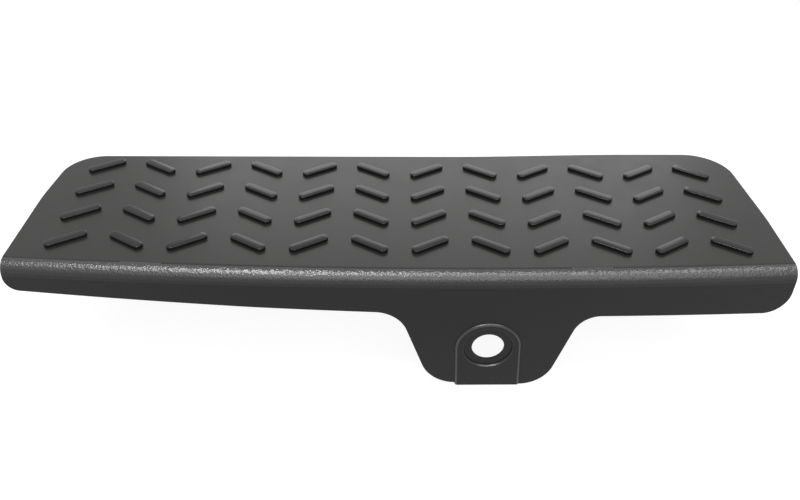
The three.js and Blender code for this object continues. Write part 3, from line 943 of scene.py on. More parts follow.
@dataclass
class Moulding:
    """The tread moulding, from its bars to the ribs and sockets under it. Millimetres, degrees."""

    length: float = 319.2
    deck_top: float = 11.0
    front_reach: float = 44.1
    rear_reach_left: float = 42.6
    rear_rise_right: float = 8.4
    kink: tuple[FlatPoint, FlatPoint] = ((34.5, 0.405), (99.5, 0.857))
    kink_radius: float = 800.0
    rear_corner_left: float = 17.5
    rear_corner_right: float = 19.5
    end_taper: float = 3.1
    end_taper_start: float = 6.0
    end_taper_radius: float = 120.0
    arc_radius: float = 2263.0
    arc_middle: float = -7.7
    wall: float = 3.0
    edge_radius: float = 0.6
    lower_edge_share: float = 0.5
    edge_turn: float = 45.0
    nose_radius: float = 6.0
    rim_depth: float = 10.0
    rim_wall: float = 2.5
    lap: float = 12.0
    skirt_depth_left: float = 12.95
    skirt_bend: tuple[float, float, float] = (-60.5, 17.1, 300.0)
    skirt_tab_depth_left: float = 18.95
    skirt_tab_depth_right: float = 21.05
    skirt_depth_right: float = 21.8
    skirt_corner_left: float = 6.0
    skirt_corner_right: float = 10.4
    tab_depth: FlatPoint = (57.4, 59.3)
    tab_root: FlatPoint = (37.4, 37.6)
    tab_foot: FlatPoint = (23.6, 25.4)
    tab_fillet: FlatPoint = (14.0, 11.0)
    tab_corner: FlatPoint = (15.5, 14.5)
    bolt_place: float = 36.7
    bolt_depth: float = 37.1
    reach: float = 40.0
    arc_steps: int = 59
    split_shift: float = 2.5
    nose_steps: int = 16
    nose_bands: int = 10
    nose_peak: int = 1
    nose_fade: float = 1.4
    skin_gap: float = 0.02
    skin_turn: float = 35.0
    edge_steps: int = 4
    rib_depth: float = 9.0
    rib_wall: float = 2.0
    rib_overhang: float = 15.0
    draft: float = 0.25
    seat_wall: float = 2.0
    seat_corner: float = 1.5
    well_corner: float = 0.8
    socket_wall: float = 2.0
    socket_corner: float = 2.0
    room_corner: float = 1.0
    slot_clearance: float = 0.3
    slot_flare: float = 1.2
    pin_radius: float = 2.5
    pin_length: float = 1.0
    pin_middle: float = 0.3
    pin_offset: float = 9.0
    bar_rows: tuple[int, int] = (-2, 2)
    bar_columns: tuple[int, int] = (-6, 6)
    bar_middle: FlatPoint = (-0.5, 0.55)
    bar_pitch: FlatPoint = (25.0, 20.0)
    bar_length: float = 17.4
    bar_width: float = 4.3
    bar_height: float = 1.5
    bar_corner: float = 1.9
    bar_corner_steps: int = 8
    bar_edge: float = 0.27
    bar_edge_steps: int = 3
    bar_crown: float = 0.15
    crown_steps: int = 5
    bar_angle: float = 33.0
    bar_row_radius: float = 6000.0
    boss_width: float = 27.8
    boss_arch: float = 12.9
    boss_height: float = 0.9
    boss_depth: float = 58.3
    boss_lean: float = 2.6
    foot_cut: float = 5.0
    boss_edge: float = 1.2
    boss_edge_steps: int = 10
    boss_steps: int = 48
    bore: float = 20.1
    bore_depth: float = 0.9
    bore_flare: float = 0.4
    bore_chamfer: float = 0.65
    bore_edge: float = 0.15
    hole_edge: float = 0.12
    hole: float = 13.5
    web: float = 1.0
    land_width: float = 36.0
    land_proud: float = 0.6
    land_edge: float = 0.4
    recess: float = 24.0
    recess_edge: float = 0.35
    bore_steps: int = 96
    body: Piece = field(init=False, default=None)
    satin: Material = field(init=False, default=None)
    nose: list[Material] = field(init=False, default_factory=list)
    bars: Material = field(init=False, default=None)
    grained: Material = field(init=False, default=None)
    polished: Material = field(init=False, default=None)
    plain: Material = field(init=False, default=None)

    @property
    def left(self) -> float:
        """Where the step's left end lies."""
        return -self.length / 2

    @property
    def right(self) -> float:
        """Where the step's right end lies."""
        return self.length / 2

    @property
    def arc_centre(self) -> Point:
        """The middle of the front arc, in plan."""
        return (self.arc_middle, self.arc_radius - self.front_reach, 0.0)

    def arc_y(self, x: float) -> float:
        """Where the front arc lies at a place along the step."""
        across = x - self.arc_middle
        return self.arc_radius - self.front_reach - math.sqrt(self.arc_radius**2 - across**2)

    def arc_angle(self, x: float) -> float:
        """The front arc's plan angle at a place along the step, in radians."""
        return math.asin((x - self.arc_middle) / self.arc_radius)

    def plan(self, front: float) -> list[Corner]:
        """Gives the deck's plan.

        Args:
            front: where its front edge lies.

        Returns:
            The corners, anticlockwise.
        """
        (start_x, start_share), (end_x, end_share) = self.kink
        left_reach = self.rear_reach_left
        rise = self.rear_rise_right
        return [
            Corner(self.left, front),
            Corner(self.right, front),
            Corner(self.right, -self.end_taper_start, self.end_taper_radius),
            Corner(self.right - self.end_taper, left_reach + rise, self.rear_corner_right),
            Corner(end_x, left_reach + rise * end_share, self.kink_radius),
            Corner(start_x, left_reach + rise * start_share, self.kink_radius),
            Corner(self.left + self.end_taper, left_reach, self.rear_corner_left),
            Corner(self.left, self.end_taper_start, self.end_taper_radius),
        ]

    def skirt(self) -> list[Corner]:
        """Gives the skirt and tab as seen from the front.

        Returns:
            The corners, anticlockwise, as (x, height).
        """
        top = self.deck_top
        bend_x, bend_depth, bend_radius = self.skirt_bend
        bolt = self.bolt_place
        return [
            Corner(self.left, top - self.skirt_depth_left, self.skirt_corner_left),
            Corner(bend_x, top - bend_depth, bend_radius),
            Corner(bolt - self.tab_root[0], top - self.skirt_tab_depth_left, self.tab_fillet[0]),
            Corner(bolt - self.tab_foot[0], top - self.tab_depth[0], self.tab_corner[0]),
            Corner(bolt + self.tab_foot[1], top - self.tab_depth[1], self.tab_corner[1]),
            Corner(bolt + self.tab_root[1], top - self.skirt_tab_depth_right, self.tab_fillet[1]),
            Corner(self.right, top - self.skirt_depth_right, self.skirt_corner_right),
            Corner(self.right, top + self.reach),
            Corner(self.left, top + self.reach),
        ]

    def sweep_section(
        self, name: str, section: list[FlatPoint], start: float, end: float, steps: int
    ) -> Piece:
        """Sweeps a section along the front arc.

        Args:
            name: the solid's name.
            section: its points, each as how far in front of the arc and how far under the deck.
            start: where along the step it starts.
            end: where it ends.
            steps: how many steps that takes.

        Returns:
            The swept solid.
        """
        angle = self.arc_angle(start)
        centre = Vector(self.arc_centre)
        points = []
        for out, down in section:
            spoke = self.arc_radius + out
            x, y = centre.x + spoke * math.sin(angle), centre.y - spoke * math.cos(angle)
            points.append((x, y, self.deck_top - down))
        turn = self.arc_angle(end) - angle
        return turn_on_axis(trace(name, points), self.arc_centre, (0, 0, 1), turn, steps)

    def sweep_front(
        self, name: str, wall: float, span: Range, over: float, lap: float
    ) -> Piece:
        """Sweeps the section of the front along the front arc.

        Args:
            name: the solid's name.
            wall: how far inside the outer surface the section lies.
            span: how far under the deck it starts and ends.
            over: how far it runs past the step's ends.
            lap: how far it runs back under the deck.

        Returns:
            The swept solid.
        """
        radius = self.nose_radius - wall
        top, bottom = span
        section = [(-lap, top)]
        for k in range(self.nose_steps + 1):
            angle = math.pi / 2 * k / self.nose_steps
            section.append((radius * math.sin(angle), self.nose_radius - radius * math.cos(angle)))
        section += [(radius, bottom), (-lap, bottom)]
        start, end = self.left - over, self.right + over
        return self.sweep_section(name, section, start, end, self.arc_steps)

    def build(self) -> Piece:
        """Builds the whole moulding.

        Returns:
            The finished object.
        """
        self.satin = SATIN_BLACK.material()
        self.nose = [self.nose_finish(band).material() for band in range(self.nose_bands)]
        self.polished = POLISHED_BLACK.material()
        self.bars = GLOSSY_BLACK.material()
        self.grained = GRAINED_BLACK.material()
        self.plain = PLAIN_BLACK.material()
        self.build_outside()
        outside = copy_piece(self.body, "outside", Matrix.Identity(4))
        self.cut_hollow()
        work(self.body, self.build_underside(outside), Cut.JOIN)
        self.mark_ejector_pins()
        work(self.body, self.build_bars(), Cut.JOIN)
        self.build_bolt_seat()
        smooth(self.body)
        self.shade_as_swept()
        return self.body

    def nose_finish(self, band: int) -> Finish:
        """Gives the finish of one band of the nose, whose grain is strongest near its top.

        Args:
            band: the band, counted from the deck.

        Returns:
            The finish.
        """
        past = band - self.nose_peak
        if past < 0:
            return SATIN_BLACK.towards(PEBBLED_BLACK, band / self.nose_peak)
        share = past / (self.nose_bands - self.nose_peak)
        return PEBBLED_BLACK.towards(GRAINED_BLACK, share**self.nose_fade)

    def skin_direction(self, corner: Vector) -> Vector | None:
        """Gives the direction that the outer skin faces at a point.

        Args:
            corner: the point, in metres.

        Returns:
            The direction, or None where the point doesn't lie on the skin.
        """
        place = corner / MM
        spoke = Vector((place.x - self.arc_centre[0], place.y - self.arc_centre[1], 0.0))
        out = spoke.length - self.arc_radius
        down = self.deck_top - place.z
        if out <= 0:
            return Vector((0, 0, 1)) if abs(down) < DECK_GAP else None
        rise = max(0.0, self.nose_radius - down)
        if abs(math.hypot(out, rise) - self.nose_radius) > self.skin_gap:
            return None
        return (spoke.normalized() * out + Vector((0, 0, rise))).normalized()

    def shade_as_swept(self) -> None:
        """Shades deck, nose and skirt as the smooth surfaces that their facets follow."""
        mesh = self.body.data
        known = [self.skin_direction(corner.co) for corner in mesh.vertices]
        directions = [Vector(corner.vector) for corner in mesh.corner_normals]
        limit = math.cos(math.radians(self.skin_turn))
        for face in mesh.polygons:
            for k in face.loop_indices:
                wanted = known[mesh.loops[k].vertex_index]
                if wanted is not None and face.normal.dot(wanted) > limit:
                    directions[k] = wanted
        mesh.normals_split_custom_set(directions)

    def build_outside(self) -> None:
        """Builds deck, rim, nose, skirt and tab as a solid with rounded outer edges."""
        top = self.deck_top
        span = (0.0, max(self.tab_depth) + PAST)
        self.body = self.sweep_front("tread_moulding", 0.0, span, PAST, self.lap)
        depth = self.front_reach + self.reach
        front_view = prism("front_view", rounded(self.skirt()), Lie.FRONT, -depth, depth)
        work(self.body, front_view, Cut.KEEP_COMMON, keep_tool=True)
        deck_front = -self.front_reach + self.lap - self.wall
        deck = prism("deck", rounded(self.plan(deck_front)), Lie.PLAN, top - self.rim_depth, top)
        work(deck, front_view, Cut.KEEP_COMMON)
        work(self.body, deck, Cut.JOIN)
        merge_flats(self.body)
        shift = self.split_shift
        columns = [self.bar_place(0, column)[0] + shift for column in range(*self.bar_columns)]
        half_way = self.bar_columns[1] // 2
        rows = [self.bar_place(row, half_way)[1] for row in range(*self.bar_rows)]
        split_faces(self.body, is_level_top, columns, Axis.X)
        split_faces(self.body, is_level_top, rows, Axis.Y)
        round_by_share(self.body, self.edge_share, self.edge_radius, self.edge_steps)
        self.body.data.materials.clear()
        for material in (self.satin, *self.nose, self.grained):
            self.body.data.materials.append(material)
        for face in self.body.data.polygons:
            face.material_index = self.zone(face)

    def zone(self, face: Polygon) -> int:
        """Tells which finish a face of the outside has.

        Args:
            face: the face.

        Returns:
            0 for the satin deck, then the bands of the nose, and last the skirt and tab.
        """
        last = len(self.nose) + 1
        place = face.center / MM
        out = self.arc_y(place.x) - place.y
        rise = place.z - self.deck_top + self.nose_radius
        if out < NOSE_START or abs(face.normal.x) > END_WALL:
            return 0 if face.normal.z > FACES_UP else last
        if rise <= 0:
            return last
        turned = math.atan2(out, rise) / (math.pi / 2)
        return 1 + min(int(turned * len(self.nose)), len(self.nose) - 1)

    def edge_share(self, edge: Edge) -> float:
        """Gives an outer edge's share of the rounding.

        Args:
            edge: any edge of the moulding's outside.

        Returns:
            1 round the deck, less along the skirt's lower edge, 0 where it isn't an outer edge.
        """
        turn = edge.calc_face_angle(0.0)
        if len(edge.link_faces) != 2 or turn < math.radians(self.edge_turn):
            return 0.0
        skin = [face for face in edge.link_faces if self.is_skin(face)]
        if len(skin) != 1:
            return 0.0
        other = next(face for face in edge.link_faces if face is not skin[0])
        downward = max(0.0, -other.normal.z)
        middle = (edge.verts[0].co + edge.verts[1].co) / 2 / MM
        if self.right - abs(middle.x) > self.skirt_corner_right + PAST and downward > 0:
            downward = 1.0
        return 1.0 - (1.0 - self.lower_edge_share) * downward

    def is_skin(self, face: Face) -> bool:
        """Says whether a face belongs to deck, nose or the front of the skirt."""
        normal = face.normal
        if abs(normal.x) > SIDEWAYS or normal.z < -SLIGHT_TILT:
            return False
        middle = face.calc_center_median() / MM
        in_front = normal.y < -SLIGHT_TILT and middle.y < self.arc_y(middle.x)
        return normal.z > DECK_TILT or in_front

    def cut_hollow(self) -> None:
        """Cuts the hollow under the deck and behind the skirt."""
        top = self.deck_top
        under = top - self.wall
        far = self.reach
        deepest = max(self.tab_depth) + far
        low = top - deepest
        front = -self.front_reach - far
        back = self.lap + 2 * PAST
        behind = self.sweep_front("behind_skirt", self.wall, (self.wall, deepest), far, back)
        between = block(
            "between_ends",
            (self.left + self.rim_wall, front, low),
            (self.right - self.rim_wall, 0, top),
        )
        below = block(
            "below_ends", (self.left - far, front, low), (self.right + far, 0, top - self.rim_depth)
        )
        work(between, below, Cut.JOIN)
        work(behind, between, Cut.KEEP_COMMON)
        work(self.body, paint(behind, self.plain), Cut.REMOVE)
        inside_front = -self.front_reach + self.lap - self.wall + 2 * PAST
        inner = rounded(inset(self.plan(inside_front), self.rim_wall))
        deck_hollow = prism("deck_hollow", inner, Lie.PLAN, top - self.rim_depth - PAST, under)
        split_faces(deck_hollow, is_level_top, self.pin_columns(), Axis.X)
        work(self.body, paint(deck_hollow, self.plain), Cut.REMOVE)

    def wall_rib(self, name: str, start: float, end: float) -> Piece:
        """Builds one rib that hangs from the deck and thins towards its edge.

        Args:
            name: the rib's name.
            start: where it starts across the step.
            end: where it ends.

        Returns:
            The rib, along Y over the step's middle.
        """
        root = self.rib_wall / 2
        edge = root - self.draft
        high = self.deck_top - self.wall + OVERLAP
        low = self.deck_top - self.rib_depth
        outline = [(-edge, low), (edge, low), (root, high), (-root, high)]
        rib = prism(name, outline, Lie.FRONT, start, end)
        round_edges(rib, rims_face(Axis.Z, low), self.draft, 2)
        return paint(rib, self.plain)

    def build_underside(self, outside: Piece) -> Piece:
        """Builds ribs, pad seats and retainer sockets.

        Args:
            outside: the moulding's outside as a solid, which trims the ribs.

        Returns:
            All of them as one solid.
        """
        past = self.front_reach + self.rib_overhang
        cross = self.wall_rib("cross_rib", -past, past)
        grid = copy_piece(cross, "rib_grid", Matrix.Translation((MM * RIB_LINES[0], 0, 0)))
        for x in RIB_LINES[1:]:
            work(grid, copy_piece(cross, "rib", Matrix.Translation((MM * x, 0, 0))), Cut.JOIN)
        discard(cross)
        quarter = Matrix.Rotation(math.pi / 2, 4, "Z")
        along = self.wall_rib("long_rib", self.left, self.right)
        along.data.transform(quarter)
        for y in (-LONG_RIB, LONG_RIB):
            work(grid, copy_piece(along, "rib", Matrix.Translation((0, MM * y, 0))), Cut.JOIN)
        discard(along)
        work(grid, self.wall_rib("middle_tie", -LONG_RIB, LONG_RIB), Cut.JOIN)
        tie = self.wall_rib("middle_tie", -RIB_PITCH / 2, RIB_PITCH / 2)
        tie.data.transform(quarter)
        work(grid, tie, Cut.JOIN)
        work(grid, outside, Cut.KEEP_COMMON)
        for x, y in PAD_PLACES.values():
            work(grid, self.pad_seat(x, y), Cut.JOIN)
        room = SOCKET_INNER
        low = self.deck_top - self.rib_depth - PAST
        high = self.deck_top
        for x, y in RETAINER_PLACES.values():
            cell = block("socket_room", (x - room, y - room, low), (x + room, y + room, high))
            work(grid, paint(cell, self.plain), Cut.REMOVE)
        for x, y in RETAINER_PLACES.values():
            work(grid, self.socket(x, y), Cut.JOIN)
        return grid

    def pad_seat(self, x: float, y: float) -> Piece:
        """Builds the thin-walled box that a bump pad is glued to.

        Args:
            x: its middle along the step.
            y: its middle across the step.

        Returns:
            The seat.
        """
        low = self.deck_top - self.rib_depth
        high = self.deck_top - self.wall + OVERLAP
        a, b = PAD_SIZE[0] / 2, PAD_SIZE[1] / 2
        seat = block("pad_seat", (x - a, y - b, low), (x + a, y + b, high))
        round_edges(seat, is_upright_edge, self.seat_corner, 3)
        split_faces(seat, is_level, [x], Axis.X)
        c, d = a - self.seat_wall, b - self.seat_wall
        well = block("pad_well", (x - c, y - d, low - PAST), (x + c, y + d, high + PAST))
        round_edges(well, is_upright_edge, self.well_corner, 3)
        work(seat, well, Cut.REMOVE)
        return paint(seat, self.plain)

    def socket(self, x: float, y: float) -> Piece:
        """Builds the slotted box that a retainer's head slides into.

        Args:
            x: its middle along the step.
            y: its middle across the step; its mouth faces the step's middle.

        Returns:
            The socket.
        """
        low = self.deck_top - self.rib_depth
        high = self.deck_top - self.wall
        inner = SOCKET_INNER
        outer = inner + self.socket_wall
        mouth = inner + PAST
        floor = low + SOCKET_FLOOR
        body = block("socket", (-outer, -outer, low), (outer, inner, high + OVERLAP))
        round_edges(body, is_closed_end, self.socket_corner, 4)
        room = block("room", (-inner, -inner, floor), (inner, mouth, high + PAST))
        round_edges(room, is_closed_end, self.room_corner, 3)
        neck = NECK_RADIUS + self.slot_clearance
        end_radius = neck - ALMOST
        flare = self.slot_flare
        slot_outline = [
            Corner(-neck, -neck, end_radius),
            Corner(neck, -neck, end_radius),
            Corner(neck + flare, mouth),
            Corner(-neck - flare, mouth),
        ]
        slot = prism("slot", rounded(slot_outline), Lie.PLAN, low - PAST, floor + OVERLAP)
        work(body, room, Cut.REMOVE)
        work(body, slot, Cut.REMOVE)
        turn = Matrix.Rotation(math.pi if y > 0 else 0.0, 4, "Z")
        body.data.transform(Matrix.Translation((MM * x, MM * y, 0)) @ turn)
        return paint(body, self.plain)

    def pin_columns(self) -> list[float]:
        """Gives where the mould's ejector pins stand along the step, midway between its ribs."""
        return [(a + b) / 2 for a, b in zip(RIB_LINES, RIB_LINES[1:])]

    def mark_ejector_pins(self) -> None:
        """Sinks the round marks of the mould's ejector pins into the deck's underside."""
        under = self.deck_top - self.wall
        pins = []
        for x in self.pin_columns():
            for y in (-LONG_RIB - self.pin_offset, LONG_RIB + self.pin_offset):
                deselect()
                bpy.ops.mesh.primitive_cylinder_add(
                    vertices=32,
                    radius=MM * self.pin_radius,
                    depth=MM * self.pin_length,
                    location=(MM * x, MM * y, MM * (under - self.pin_middle)),
                )
                bpy.ops.object.transform_apply(location=True)
                pins.append(bpy.context.object)
        work(self.body, paint(join_pieces(pins, "ejector_pins"), self.plain), Cut.REMOVE)

    def bar_place(self, row: int, column: int) -> FlatPoint:
        """Gives the middle of one tread bar; the rows are slightly bowed."""
        across = (column + 0.5) * self.bar_pitch[0]
        bow = across**2 / (2 * self.bar_row_radius)
        back = self.bar_middle[1] + (row + 0.5) * self.bar_pitch[1] + bow
        return self.bar_middle[0] + across, back

    def build_bar(self) -> Piece:
        """Builds one tread bar: an upright wall, a rounded edge and a low crown.

        Returns:
            The bar along X, in the middle of the step.
        """
        half_length, half_width = self.bar_length / 2, self.bar_width / 2
        wall_top = self.deck_top + self.bar_height - self.bar_crown
        bar = block(
            "tread_bar",
            (-half_length, -half_width, self.deck_top - PAST),
            (half_length, half_width, wall_top),
        )
        round_edges(bar, is_upright_edge, self.bar_corner, self.bar_corner_steps)
        select(bar, Part.FACES, is_level_top)
        for k in range(1, self.crown_steps):
            rise = (1 - (k - 1) / self.crown_steps) ** 2 - (1 - k / self.crown_steps) ** 2
            bpy.ops.mesh.inset(
                thickness=MM * half_width / self.crown_steps, depth=MM * self.bar_crown * rise
            )
        end_edit()
        round_edges(bar, rims_face(Axis.Z, wall_top), self.bar_edge, self.bar_edge_steps)
        return paint(bar, self.bars)

    def build_bars(self) -> Piece:
        """Builds the tread bars, whose columns lean left and right in turn.

        Returns:
            All bars as one object.
        """
        model = self.build_bar()
        bars = []
        for row in range(*self.bar_rows):
            for column in range(*self.bar_columns):
                x, y = self.bar_place(row, column)
                lean = self.bar_angle if column % 2 == 0 else -self.bar_angle
                turn = Matrix.Rotation(math.radians(lean), 4, "Z")
                place = Matrix.Translation((MM * x, MM * y, 0))
                bars.append(copy_piece(model, "bar", place @ turn))
        discard(model)
        LOG.info("tread bars: %d", len(bars))
        return join_pieces(bars, "tread_bars")

    def tab_frame(self) -> Matrix:
        """Gives the frame of the bolt seat: its middle on the tab's face, Y pointing back."""
        place = (
            MM * self.bolt_place,
            MM * self.arc_y(self.bolt_place),
            MM * (self.deck_top - self.bolt_depth),
        )
        turn = Matrix.Rotation(self.arc_angle(self.bolt_place), 4, "Z")
        return Matrix.Translation(place) @ turn @ Matrix.Translation((0, -MM * self.nose_radius, 0))

    def build_bolt_seat(self) -> None:
        """Adds the raised seat and the land behind it, and cuts counterbore, hole and recess."""
        frame_ = self.tab_frame()
        radius = self.boss_width / 2
        height = self.boss_height
        foot = self.bolt_depth - self.boss_depth
        outline = [(-radius, foot - radius), (radius, foot - radius)]
        for k in range(self.boss_steps + 1):
            turn = math.pi * k / self.boss_steps
            outline.append((radius * math.cos(turn), self.boss_arch * math.sin(turn)))
        boss = prism("boss", outline, Lie.FRONT, -height, self.wall / 2)
        split_faces(boss, is_upright_front, [0.0], Axis.X)
        round_edges(boss, rims_face(Axis.Y, -height), self.boss_edge, self.boss_edge_steps)
        boss.data.transform(Matrix.Rotation(-math.radians(self.boss_lean), 4, "Y"))
        paint(boss, self.grained)
        front, side = EDGE_FACING
        paint_faces(boss, self.polished, lambda face: front < face.normal.y < side)
        wide, thick = 2 * radius, self.foot_cut
        below = block("below_foot", (-wide, -thick, foot - wide), (wide, thick, foot))
        work(boss, paint(below, self.grained), Cut.REMOVE)
        boss.data.transform(frame_)
        work(self.body, boss, Cut.JOIN)
        half = self.land_width / 2
        behind = self.wall + self.land_proud
        land = block("back_land", (-half, self.wall / 2, -half), (half, behind, half))
        split_faces(land, is_upright_front, [0.0], Axis.X)
        round_edges(land, rims_face(Axis.Y, behind), self.land_edge, 3)
        land.data.transform(frame_)
        work(self.body, paint(land, self.plain), Cut.JOIN)
        cutter = paint(self.bolt_cutter(), self.grained)
        floor = self.bore_depth - self.boss_height
        mouth = MM * (floor - MOUTH_GAP)
        paint_faces(
            cutter,
            self.polished,
            lambda face: abs(face.normal.y) > MOUTH_TILT and face.center.y < mouth,
        )
        cutter.data.transform(frame_)
        work(self.body, cutter, Cut.REMOVE)

    def bolt_cutter(self) -> Piece:
        """Turns the solid that cuts counterbore, bolt hole and back recess, with rounded mouths.

        Returns:
            The cutter in the tab's frame.
        """
        face = self.boss_height
        floor = face - self.bore_depth
        back = floor - self.web
        end = -self.wall - self.land_proud
        bore, hole, recess = self.bore / 2, self.hole / 2, self.recess / 2
        mouth = bore + self.bore_flare
        ahead, behind = Corner(2 * mouth, face), Corner(bore, face - self.bore_chamfer)
        lip = rounded([ahead, Corner(mouth, face, self.bore_edge), behind])[1:-1]
        profile = [(0.0, face + 2 * PAST), (lip[0][0], face + 2 * PAST), *lip]
        profile += [(bore, face - self.bore_chamfer), (bore, floor)]
        profile += quarter_round(hole, floor, self.hole_edge, -1)
        profile += quarter_round(hole, back, self.hole_edge, 1)
        profile += [(recess, back)]
        profile += quarter_round(recess, end, self.recess_edge, 1)
        profile += [(recess + self.recess_edge, end - 2 * PAST), (0.0, end - 2 * PAST)]
        line = trace("bolt_cutter", [(r, -q, 0.0) for r, q in profile], filled=False)
        return turn_on_axis(line, (0, 0, 0), (0, 1, 0), 2 * math.pi, self.bore_steps)


# ---- what holds the step and what it rests on ----


@dataclass
class Retainer:
    """A push-in retainer: head, neck, sealing collar and barbed stem. Millimetres, degrees."""

    head_radius: float = 6.5
    head_low: float = 4.3
    head_high: float = 5.9
    edge: float = 0.4
    small_edge: float = 0.12
    gate_radius: float = 1.1
    gate_depth: float = 0.3
    gate_flare: float = 0.15
    fillet: float = 0.3
    collar_top: float = 1.7
    collar_edge: float = 1.25
    collar_rounding: float = 0.15
    stem_top: float = 0.8
    stem_radius: float = 2.2
    stem_length: float = 15.0
    barbs: int = 5
    barb_radius: float = 4.0
    barb_edge: float = 0.35
    barb_tip: float = 0.08
    barb_fillet: float = 0.8
    barb_hook: float = 0.75
    barb_slope: float = 1.25
    tip_radius: float = 1.0
    sharpest: float = 50.0
    steps: int = 64

    def profile(self) -> list[FlatPoint]:
        """Gives the retainer's half section.

        Returns:
            The points from the head's middle down to the tip, as (radius, height).
        """
        stem, barb, head = self.stem_radius, self.barb_radius, self.head_radius
        gate = self.head_high - self.gate_depth
        corners = [
            Corner(0.0, gate),
            Corner(self.gate_radius, gate, self.small_edge),
            Corner(self.gate_radius + self.gate_flare, self.head_high, self.small_edge),
            Corner(head, self.head_high, self.edge),
            Corner(head, self.head_low, self.edge),
            Corner(NECK_RADIUS, self.head_low, self.fillet),
            Corner(NECK_RADIUS, self.collar_top, self.fillet),
            Corner(head, self.collar_top, self.collar_rounding),
            Corner(head, self.collar_edge, self.collar_rounding),
            Corner(stem, self.stem_top, self.edge),
        ]
        pitch = self.stem_length / (self.barbs + 1)
        hook, slope = self.barb_hook, self.barb_slope
        for k in range(1, self.barbs + 1):
            top = self.stem_top - k * pitch + pitch / 2
            corners += [
                Corner(stem, top - hook, self.fillet),
                Corner(barb, top, self.barb_tip),
                Corner(barb, top - self.barb_edge, self.small_edge),
                Corner(stem + hook, top - slope, self.barb_fillet),
                Corner(stem, top - pitch + self.barb_edge, self.fillet),
            ]
        tip = self.stem_top - self.stem_length
        corners += [Corner(self.tip_radius, tip, self.edge), Corner(0.0, tip)]
        return rounded(corners, SMALL_TURN)

    def build(self) -> Piece:
        """Turns the retainer over the middle of the step.

        Returns:
            The model that all retainers are copied from.
        """
        line = trace("retainer_model", [(r, 0.0, z) for r, z in self.profile()], filled=False)
        turn_on_axis(line, (0, 0, 0), (0, 0, 1), 2 * math.pi, self.steps)
        smooth(line, self.sharpest)
        return paint(line, NATURAL_NYLON.material())

    def build_all(self) -> None:
        """Puts a copy of the retainer in each socket."""
        names = ("retainer", "nylon_retainer")
        stand_copies(self.build(), RETAINER_PLACES, names)


@dataclass
class BumpPad:
    """A solid rubber pad with a groove round its lower face. Millimetres."""

    corner: float = 2.0
    edge: float = 0.35
    groove_inset: float = 2.6
    groove_width: float = 0.9
    groove_depth: float = 0.4

    def outline(self, within: float) -> list[FlatPoint]:
        """Follows the pad's outline.

        Args:
            within: how far inside the pad's edge.

        Returns:
            The points along it.
        """
        a, b = PAD_SIZE[0] / 2, PAD_SIZE[1] / 2
        radius = self.corner
        signs = ((-1, -1), (1, -1), (1, 1), (-1, 1))
        corners = [Corner(i * a, j * b, radius) for i, j in signs]
        return rounded(inset(corners, within) if within else corners, PAD_TURN)

    def build(self) -> Piece:
        """Builds the pad over the middle of the step.

        Returns:
            The model that all pads are copied from.
        """
        high = PAD_SIZE[2]
        pad = prism("pad_model", self.outline(0.0), Lie.PLAN, 0.0, high)
        round_edges(pad, rims_face(Axis.Z, 0.0), self.edge, 4)
        round_edges(pad, rims_face(Axis.Z, high), self.edge / 2, 3)
        outer = self.outline(self.groove_inset)
        groove = prism("groove", outer, Lie.PLAN, -PAST, self.groove_depth)
        inner = self.outline(self.groove_inset + self.groove_width)
        work(groove, prism("groove_inside", inner, Lie.PLAN, -2 * PAST, PAST), Cut.REMOVE)
        work(pad, groove, Cut.REMOVE)
        smooth(pad)
        return paint(pad, BLACK_RUBBER.material())

    def build_all(self) -> None:
        """Puts a copy of the pad under each seat."""
        stand_copies(self.build(), PAD_PLACES, ("bump_pad", "rubber_pad"))


@dataclass
class SkirtStrip:
    """A grooved rubber strip that is glued behind the skirt. Millimetres."""

    node: str
    start: float
    end: float
    near: float = 2.7
    far: float = 0.7
    top: float = 9.3
    bottom: float = 13.3
    edge: float = 0.45
    groove: float = 0.35
    back_edge: float = 0.2
    groove_edge: float = 0.1
    steps: int = 28

    def build(self, moulding: Moulding) -> None:
        """Sweeps the strip along the skirt.

        Args:
            moulding: the moulding that it is glued to.
        """
        third = (self.bottom - self.top) / 3
        cut = self.groove
        corners = [
            Corner(self.near, self.top, self.back_edge),
            Corner(self.near, self.bottom, self.back_edge),
            Corner(self.far, self.bottom, self.edge),
        ]
        for down in (self.bottom - third, self.top + third):
            corners += [
                Corner(self.far, down + cut, self.groove_edge),
                Corner(self.far + cut, down, self.groove_edge),
                Corner(self.far, down - cut, self.groove_edge),
            ]
        corners.append(Corner(self.far, self.top, self.edge))
        name = self.node.replace("skirt_strip", "rubber_strip")
        section = rounded(corners, SMALL_TURN)
        strip = moulding.sweep_section(name, section, self.start, self.end, self.steps)
        smooth(strip)
        paint(strip, BLACK_RUBBER.material())
        stand_for(strip, self.node)


# ---- camera, light and floor ----


